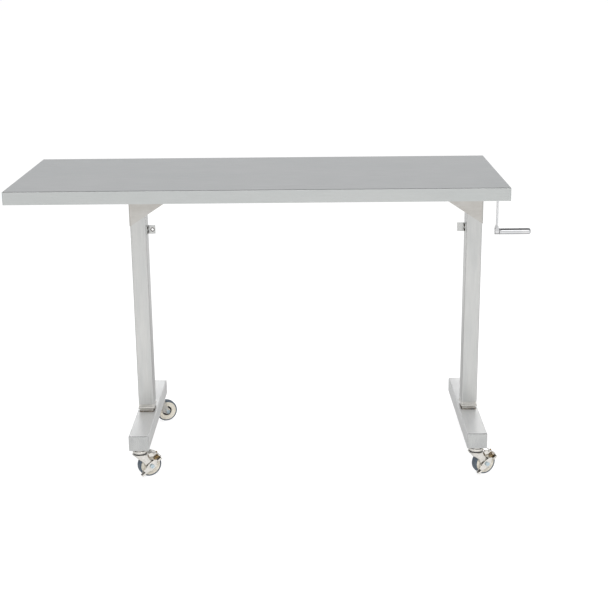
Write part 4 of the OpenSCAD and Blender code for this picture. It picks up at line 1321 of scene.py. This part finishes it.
    def wheel(self) -> None:
        """Makes the wheel centre with rings and hub recesses, the bearing shields, black discs that also
        paint the shade deep in the recesses, and the tyre.

        The tyre has a mould line round its middle.
        """
        half = [[4.05, 14.2], [9.2, 14.2], [10.4, 13.6], [10.8, 3.8], [17.0, 3.8], [17.5, 10.2],
                [18.2, 10.8], [19.6, 10.2], [23.4, 10.2], [24.6, 11.0], [26.4, 11.0], [27.2, 10.5],
                [30.6, 10.5], [31.4, 11.0], [32.98, 11.0]]
        left, right = (soften([[r, way * y] for r, y in half], 0.4, 3) for way in (-1, 1))
        wheel = self.skin("wheel_centre")
        wheel.add(self.round_axle(np.concatenate([left, right[::-1]])), wrap_rows=True)
        dress(wheel.mesh(), CREAM_NYLON, (f"{self.name}_wheel",))
        # Black discs filling the hub recesses: bearing shields, and painted shade of the deep recesses.
        shields = self.skin("bearing_shields_recess_shade")
        for way in (-1, 1):
            shields.add(self.round_axle(rectangle(9.5, 17.1, way * 4.4, way * 8.4)), wrap_rows=True)
        self.trim(shields.mesh(), BLACK_NYLON, "rolling")
        w = self.tyre_w / 2
        side = [[33.0, w], [34.6, w], [37.0, w - 1.1], [37.75, w - 4.5], [37.95, 0.5], [37.99, 0.4]]
        tread = [[r, -y] for r, y in side] + side[::-1]
        tyre = self.skin("tyre_detail")
        tyre.add(self.round_axle(soften(tread, 0.9, 4, closed=True), 128), wrap_rows=True)
        dress(tyre.mesh(40), RUBBER, (f"{self.name}_tyre",))

    def lever(self) -> None:
        """Makes the lever: a plate with a round boss and two arms, and a ribbed pedal on each arm.

        The plate's edges are interpolated above and below the line through the bolt. A pedal is an
        L of (place along the axle, height) carried along that line.
        """
        along, upward = tilted(self.lever_tilt)
        y0 = -self.seat_y - 1.3
        x = np.linspace(-45.0, 41.0, 120)
        stations = [-45, -34, -22, -14, -6, 0, 6, 12, 18, 24, 41]
        upper = np.interp(x, stations, [4.0, 6.2, 8.6, 10.8, 12.4, 12.8, 12.6, 12.0, 11.0, 10.0, 7.5])
        lower = np.interp(x, stations, [-4.5, -6.5, -8.2, -10.8, -12.6, -13.0, -12.4, -9.6, -3.4, 1.4, 1.6])
        height = lower[:, None] + np.linspace(0, 1, 13)[None] * (upper - lower)[:, None]
        grid = (self.axle + x[:, None] * along + y0 * Y_AXIS)[:, None] + height[..., None] * upward
        plate = self.skin("lever_plate").add(grid, wrap_columns=False, caps=False)
        ribs = self.skin("pedal_ribs")
        lip = soften([[y0, 2.4], [y0 - self.pedal_w, 2.4], [y0 - self.pedal_w, -2.8]], 1.8, 6)
        bar = soften(rectangle(-0.8, 0.8, 0.0, 0.9), 0.4, 3, closed=True)
        for x_end, rise in ((-38.0, 0.6), (32.0, 4.0)):
            middle = self.axle + x_end * along + rise * upward
            path = middle + np.array([[-7.5], [0.0], [7.5]]) * along
            plate.add(carry(lip, path, Y_AXIS, upward), wrap_columns=False, caps=False)
            for k in range(self.ribs):
                foot = middle + (k - (self.ribs - 1) / 2) * self.rib_pitch * along + 3.3 * upward
                ribs.add(carry(bar, foot + (y0 - np.array([[1.6], [9.4]])) * Y_AXIS, along, upward))
        solid = thicken(plate.mesh(60), self.lever_t, offset=0.0)
        dress(bevel(solid, 0.4, 2, 50), NICKEL, (f"{self.name}_brake",))
        self.trim(ribs.mesh(), DARK_STEEL, "lever")

    def shoe(self) -> None:
        """Makes the brake shoe with its pin, and the coil spring that lifts it.

        The shoe is a softened box of (place along the axle, radius) on an arc. The spring's wire
        follows P = m + (t - 1/2) L a + x cos(2 pi n t) u + y sin(2 pi n t) Y for t from 0 to 1.
        """
        shoe = self.skin("shoe_detail")
        centre, outward = self.arc(46.5, 61.5, 12)
        section = soften(rectangle(-9.0, 9.0, 39.3, 41.1), 0.6, 3, closed=True)
        shoe.add(carry(section, centre, Y_AXIS, outward))
        pin = soften([[2.5, 40.5], [2.5, 46.6], [1.8, 47.4], [0.05, 47.4]], 0.3, 3)
        shoe.add(turned(pin, self.axle, tilted(54)[0], Y_AXIS, 32))
        dress(shoe.mesh(), YELLOW_ZINC, (f"{self.name}_shoe",))
        turns, length, half_x, half_y, wire = 4.5, 18.0, 4.8, 4.2, 1.15
        along, upward = tilted(self.spring_tilt)
        t = np.linspace(0, 1, 260)[:, None]
        swing = TURN * turns * t
        middle = self.axle + 32 * tilted(57)[0] - 20.6 * Y_AXIS
        path = (middle + (t - 0.5) * length * along + half_x * np.cos(swing) * upward
                + half_y * np.sin(swing) * Y_AXIS)
        spring = self.skin("brake_spring").add(tube(path, wire, along, 8))
        self.trim(spring.mesh(60), YELLOW_ZINC)

    def build(self) -> None:
        """Makes all pieces of this caster except the fixed race, which the base makes."""
        self.fork()
        self.axle_bolt()
        self.wheel()
        if self.braked:
            self.lever()
            self.shoe()


@dataclass
class Casters:
    """The four casters and the fixed races and stems of each base.

    Attributes:
        race_top: Height of the fixed races' top.
        stem: Length of a stem.
    """

    race_top: float = 98.0
    stem: float = 22.0

    def build(self) -> None:
        """Builds each caster, then the races and stems of each side as one piece."""
        casters = [Caster(f"{end}_{side}", end == "front")
                   for end in ("front", "rear") for side in ("left", "right")]
        for caster in casters:
            caster.build()
        for side in ("left", "right"):
            races = Skin(f"{side}_caster_races")
            for caster in casters:
                if caster.side == side:
                    foot = caster.place.origin + self.race_top * Z_AXIS
                    races.add(caster.race() + caster.place.origin)
                    races.add(turned(thread(6.0, self.stem, 1.75), foot, Z_AXIS, X_AXIS, 32))
            dress(races.mesh(40), NICKEL, (f"{side}_caster_stems",))


@dataclass
class Crank:
    """The hand crank: shaft, arm, screw, pin and turned grip.

    Attributes:
        grip_r: Radius of the grip.
        grip_l: Length of the grip.
        arm_t: Thickness of the arm between its hubs.
    """

    grip_r: float = 10.2
    grip_l: float = 103.0
    arm_t: float = 4.8

    def arm(self) -> None:
        """Makes the arm: rounded boxes in rows from end to end, full-thick at both hubs.

        With d the distance from the nearer end, its half width is sqrt(R^2 - (R - d)^2) up to
        d = R, R half the box's width.
        """
        low, high = box_mm("crank_arm")
        middle = (low + high) / 2
        full_t, width, length = high - low
        r, reach = width / 2, length / 2
        a = np.linspace(0.08, math.pi - 0.08, 90)
        z = -reach * np.cos(a)
        d = reach - np.abs(z)
        half_w = np.sqrt(np.maximum(r**2 - np.maximum(r - d, 0) ** 2, 0.2))
        half_w *= np.interp(d, [r, 2.5 * r], [1.0, 0.84])
        half_t = np.interp(d, [0, 1.5 * r, 2.4 * r], [full_t, full_t, self.arm_t]) / 2
        rows = [carry(box_outline(2 * t, 2 * w, 0.45 * min(t, w)), middle + h * Z_AXIS, X_AXIS, Y_AXIS)
                for t, w, h in zip(half_t, half_w, z)]
        arm = Skin("crank_arm_forged").add(np.concatenate(rows))
        dress(arm.mesh(40), CHROME, ("crank_arm",))

    def face(self, node: str) -> Array:
        """Gives the middle of a node's face towards the table."""
        return np.array([box_mm(node)[0][0], *middle_mm(node)[1:]])

    def grip(self) -> None:
        """Makes the grip: a bored tube with a collar near the arm and a rounded, dished end."""
        r, length = self.grip_r, self.grip_l
        profile = [[4.1, 0.0], [9.2, 0.0], [10.6, 1.2], [10.6, 3.6], [9.7, 4.6], [r - 0.1, 7.0],
                   [r, length / 2], [r, length - 3.4], [r - 3.4, length], [6.3, length],
                   [6.3, length - 5.2], [4.1, length - 5.2]]
        profile = soften(profile, [0, 1, 1, 1, 1, 1, 9, 3, 3, 1, 0.4, 0], 6, closed=True)
        grip = Skin("crank_grip_turned")
        grip.add(turned(profile, self.face("crank_grip"), X_AXIS, Y_AXIS, 80), wrap_rows=True)
        dress(grip.mesh(), CHROME, ("crank_grip",))

    def screw(self) -> None:
        """Makes the screw of the arm: a washer under a domed head with a hexagon socket."""
        seat = self.face("crank_screw")
        screw = Skin("crank_screw_detail")
        washer = soften(rectangle(0.05, 9.0, 0, 1.5), 0.4, 3)
        screw.add(turned(washer, seat, X_AXIS, Y_AXIS))
        inside = hexagon(5.0, 48)
        rows = [(6.0, 1.5), (6.0, 3.6), (5.4, 4.9), (4.4, 5.5), (inside, 5.5), (inside, 3.0)]
        screw.add(turned(rows, seat, X_AXIS, Y_AXIS, 48))
        dress(screw.mesh(), TURNED, ("crank_screw",))

    def build(self) -> None:
        """Makes arm, grip and screw, and dresses shaft and pin."""
        self.arm()
        dressed_copy("crank_shaft", TURNED, 0.3)
        finish_node("grip_pin", TURNED)
        self.grip()
        self.screw()


@dataclass
class Pump:
    """The fluid pump, its cover screws and plug, the lines and their clips.

    Attributes:
        ear: Length of an ear of its body.
        sunk: Depth of the cover's face behind the ear's root.
        barrel_z: Height of the barrel's axis over the body's underside.
        circle: Radius on which the cover's screws sit.
        screws: Their number.
        plug: Place of the filler plug behind the ear, before the shaft and over the barrel's axis.
    """

    ear: float = 18.0
    sunk: float = 4.0
    barrel_z: float = 25.0
    circle: float = 13.0
    screws: int = 5
    plug: tuple[float, float, float] = (38.0, -24.6, 8.0)

    def build(self) -> None:
        """Dresses the cast body and adds the screws of its end cover and its filler plug."""
        dressed_copy("pump_housing", CAST, 1.0)
        low = box_mm("pump_housing")[0]
        axis = np.array([low[0] + self.ear, middle_mm("crank_shaft")[1], low[2] + self.barrel_z])
        cover = Skin("pump_cover_screws")
        for k in range(self.screws):
            a = TURN * (k + 0.5) / self.screws
            spoke = math.cos(a) * Y_AXIS + math.sin(a) * Z_AXIS
            seat = axis - self.sunk * X_AXIS + self.circle * spoke
            cover.add(hexagon_head(5.5, 2.6, seat, -X_AXIS, Y_AXIS, 1.5))
        cover.add(hexagon_head(13, 5, axis + np.array(self.plug), -Y_AXIS, X_AXIS, 4))
        dress(cover.mesh(), ZINC, body="table_frame")
        for side in ("left", "right"):
            finish_node(f"{side}_fluid_line", BRASS)
        finish_node("line_clips", BLACK_NYLON)


# Floor, light and camera


@dataclass
class Studio:
    """Pale floor, white surroundings, soft lamps and the photograph's camera.

    Attributes:
        eye: The camera's place in millimetres.
        yaw: Turn of the view to the right.
        pitch: Tilt of the view down.
        roll: Turn of the picture.
        focal: Focal length in pixels of a picture 608 wide.
        picture: Width of that picture.
        floor_glow: Share of white that the seen floor has without light.
        floor_back: The same in what metal mirrors of the floor behind the table.
        floor_under: The same in what metal mirrors of the floor under and near the table, dimmed there as a
            painted shadow of the table.
        ambient: Strength of the surroundings for diffuse light.
        back: Strength that metal mirrors at the rear.
        ceiling: Strength that metal mirrors overhead.
        sides: Strength that metal mirrors far to the left and right.
        rear_hue: Colour that metal mirrors to the rear.
        target: The point in metres that the lamps face.
    """

    eye: tuple[float, float, float] = (90.25, -3919.4, 1629.3)
    yaw: float = -0.003634
    pitch: float = 0.2788
    roll: float = -0.009408
    focal: float = 1226.6
    picture: float = 608.0
    floor_glow: float = 0.82
    floor_back: float = 0.565
    floor_under: float = 0.28
    ambient: float = 0.62
    back: float = 0.76
    ceiling: float = 0.12
    sides: float = 0.6
    rear_hue: str = "fdfdff"
    target: tuple[float, float, float] = (0.0, 0.0, 0.6)

    def seen(self, tree: Tree) -> Socket:
        """Finds out how a surface is looked at.

        Args:
            tree: The tree of the floor's material or of the world.

        Returns:
            1 for rays from the camera, a glossy surface or a clear one, else 0.
        """
        path = add_node(tree, "LightPath").outputs
        eye = add_node(tree, "Math", {0: path["Is Camera Ray"], 1: path["Is Glossy Ray"]},
                       operation="MAXIMUM").outputs[0]
        return add_node(tree, "Math", {0: eye, 1: path["Is Transmission Ray"]},
                        operation="MAXIMUM").outputs[0]

    def floor(self) -> None:
        """Lays the floor: matt white, and where seen a glow that a faint matt layer brings to white.

        Only that layer takes the real shadow. In metal the glow falls to floor_under beneath the table,
        a painted shadow of the table, and rises to floor_back behind it. The floor is clear from below.
        """
        reach = 60000.0
        corners = np.array([[[x, y, 0] for x in (-reach, reach)] for y in (-reach, reach)])
        made = Skin("floor").add(corners, wrap_columns=False, caps=False).mesh()
        if made.data.polygons[0].normal.z < 0:
            made.data.flip_normals()
        material = bpy.data.materials.new("floor_matt_white")
        tree = clear_tree(material)
        matt = add_node(tree, "BsdfDiffuse", {"Color": to_linear("f4f4f4")})
        faint = add_node(tree, "BsdfDiffuse", {"Color": to_linear("969696")})
        place = add_node(tree, "TexCoord").outputs["Object"]
        y = add_node(tree, "SeparateXYZ", {0: place}).outputs[1]
        # For metal the floor under and near the table is dimmed: a painted shadow of the table.
        far = add_node(tree, "MapRange", {"Value": y, "From Min": 0.9, "From Max": 2.2,
                                          "To Min": self.floor_under, "To Max": self.floor_back},
                       interpolation_type="SMOOTHSTEP")
        mirrored = add_node(tree, "MapRange", {"Value": y, "From Min": -0.35, "From Max": 0.0,
                                               "To Min": self.floor_glow, "To Max": far.outputs[0]},
                            interpolation_type="SMOOTHSTEP")
        path = add_node(tree, "LightPath").outputs
        level = add_node(tree, "Mix", {0: path["Is Camera Ray"], 2: mirrored.outputs[0],
                                       3: self.floor_glow}, data_type="FLOAT")
        glow = add_node(tree, "Emission", {"Color": WHITE, "Strength": level.outputs[0]})
        shown = add_node(tree, "AddShader", {0: faint.outputs[0], 1: glow.outputs[0]})
        above = add_node(tree, "MixShader", {0: self.seen(tree), 1: matt.outputs[0], 2: shown.outputs[0]})
        clear = add_node(tree, "BsdfTransparent")
        below = add_node(tree, "NewGeometry").outputs["Backfacing"]
        whole = add_node(tree, "MixShader", {0: below, 1: above.outputs[0], 2: clear.outputs[0]})
        add_node(tree, "OutputMaterial", {"Surface": whole.outputs[0]})
        made.data.materials.append(material)

    def surroundings(self) -> None:
        """Makes the world: white to the eye, and for metal white with a grey back and a dark ceiling.

        For metal the strength falls to the rear with y, overhead with z and to both sides with x.
        """
        world = bpy.data.worlds.new("white_studio")
        bpy.context.scene.world = world
        tree = clear_tree(world)
        place = add_node(tree, "TexCoord").outputs["Generated"]
        x, y, z = add_node(tree, "SeparateXYZ", {0: place}).outputs
        fade = add_node(tree, "MapRange", {"Value": z, "From Min": 0.2, "From Max": 0.4,
                                           "To Min": self.back + 0.1, "To Max": self.back - 0.12})
        beside = add_node(tree, "Math", {0: x}, operation="ABSOLUTE").outputs[0]
        dimmed = 1.0
        for value, low, high, end in ((y, 0.1, 0.8, fade.outputs[0]), (z, 0.57, 0.77, self.ceiling),
                                      (beside, 0.6, 0.92, self.sides)):
            step = add_node(tree, "MapRange", {"Value": value, "From Min": low, "From Max": high,
                                               "To Min": 1.0, "To Max": end},
                            interpolation_type="SMOOTHSTEP")
            dimmed = add_node(tree, "Math", {0: dimmed, 1: step.outputs[0]},
                              operation="MULTIPLY").outputs[0]
        glossy = add_node(tree, "LightPath").outputs["Is Glossy Ray"]
        mirror = add_node(tree, "Mix", {0: glossy, 2: 1.0, 3: dimmed}, data_type="FLOAT")
        strength = add_node(tree, "Mix", {0: self.seen(tree), 2: self.ambient, 3: mirror.outputs[0]},
                            data_type="FLOAT")
        rear = add_node(tree, "MapRange", {"Value": y, "From Min": 0.1, "From Max": 0.8},
                        interpolation_type="SMOOTHSTEP")
        hue = add_node(tree, "Mix", {0: rear.outputs[0], 6: WHITE, 7: to_linear(self.rear_hue)},
                       data_type="RGBA")
        shown = add_node(tree, "Mix", {0: glossy, 6: WHITE, 7: hue.outputs[2]}, data_type="RGBA")
        glow = add_node(tree, "Background", {"Color": shown.outputs[2], "Strength": strength.outputs[0]})
        add_node(tree, "OutputWorld", {"Surface": glow.outputs[0]})

    def lamp(self, name: str, at: tuple[float, float, float], width: float, power: float,
             mirrored: bool = True, height: float = 0.0) -> None:
        """Hangs a soft lamp that faces the table.

        Args:
            name: The lamp's name.
            at: Its place in metres.
            width: Its width in metres.
            power: Its power in watts.
            mirrored: Metal shows it.
            height: Its height in metres, or 0.0 for a square lamp.
        """
        data = bpy.data.lights.new(name, "AREA")
        data.shape = "RECTANGLE"
        data.size = width
        data.size_y = height or width
        data.energy = power
        lamp = enter(name, data)
        lamp.location = at
        towards = Vector(self.target) - Vector(at)
        lamp.rotation_euler = towards.to_track_quat("-Z", "Y").to_euler()
        lamp.visible_camera = False
        lamp.visible_glossy = mirrored

    def camera(self) -> None:
        """Sets the camera: forward from yaw and pitch, then the picture turned by roll."""
        forward = np.array([math.sin(self.yaw) * math.cos(self.pitch),
                            math.cos(self.yaw) * math.cos(self.pitch), -math.sin(self.pitch)])
        right = np.array([math.cos(self.yaw), -math.sin(self.yaw), 0.0])
        up = np.cross(right, forward)
        across = math.cos(self.roll) * right + math.sin(self.roll) * up
        over = math.cos(self.roll) * up - math.sin(self.roll) * right
        data = bpy.data.cameras.new("camera")
        data.sensor_width = 36.0
        data.lens = self.focal / self.picture * data.sensor_width
        data.clip_end = 500.0
        made = enter("camera", data)
        matrix = np.eye(4)
        matrix[:3] = np.stack([across, over, -forward, np.array(self.eye) * MM], axis=1)
        made.matrix_world = Matrix(matrix.tolist())
        bpy.context.scene.camera = made

    def build(self) -> None:
        """Builds floor, surroundings, lamps and camera."""
        bpy.context.scene.view_settings.view_transform = "Standard"
        self.camera()
        self.floor()
        self.surroundings()
        self.lamp("front_lamp", at=(0.6, -4.2, 3.6), width=2.6, power=110.0, mirrored=False)
        self.lamp("strip_lamp", at=(0.0, -3.4, 4.2), width=4.6, power=50.0, height=1.5)
        self.lamp("side_lamp", at=(-3.6, -1.6, 2.6), width=2.2, power=12.0, mirrored=False)
        self.lamp("top_lamp", at=(0.0, 0.8, 4.2), width=3.0, power=60.0, mirrored=False)
        for side, x in (("left", -0.75), ("right", 0.95)):
            self.lamp(f"{side}_foot_lamp", at=(x, 1.3, 0.62), width=0.5, power=2.2)


def main() -> None:
    """Builds the studio, then every sub-assembly."""
    logging.basicConfig(level=logging.INFO, format="%(message)s")
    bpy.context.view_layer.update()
    assemblies = [Studio(), WorkSurface(), UnderFrame(), Column("left"), Column("right"), BracketScrews(),
                  Foot("left"), Foot("right"), Casters(), Crank(), Pump()]
    for assembly in assemblies:
        LOG.info("building %s", type(assembly).__name__)
        assembly.build()


if __name__ == "__main__":
    main()
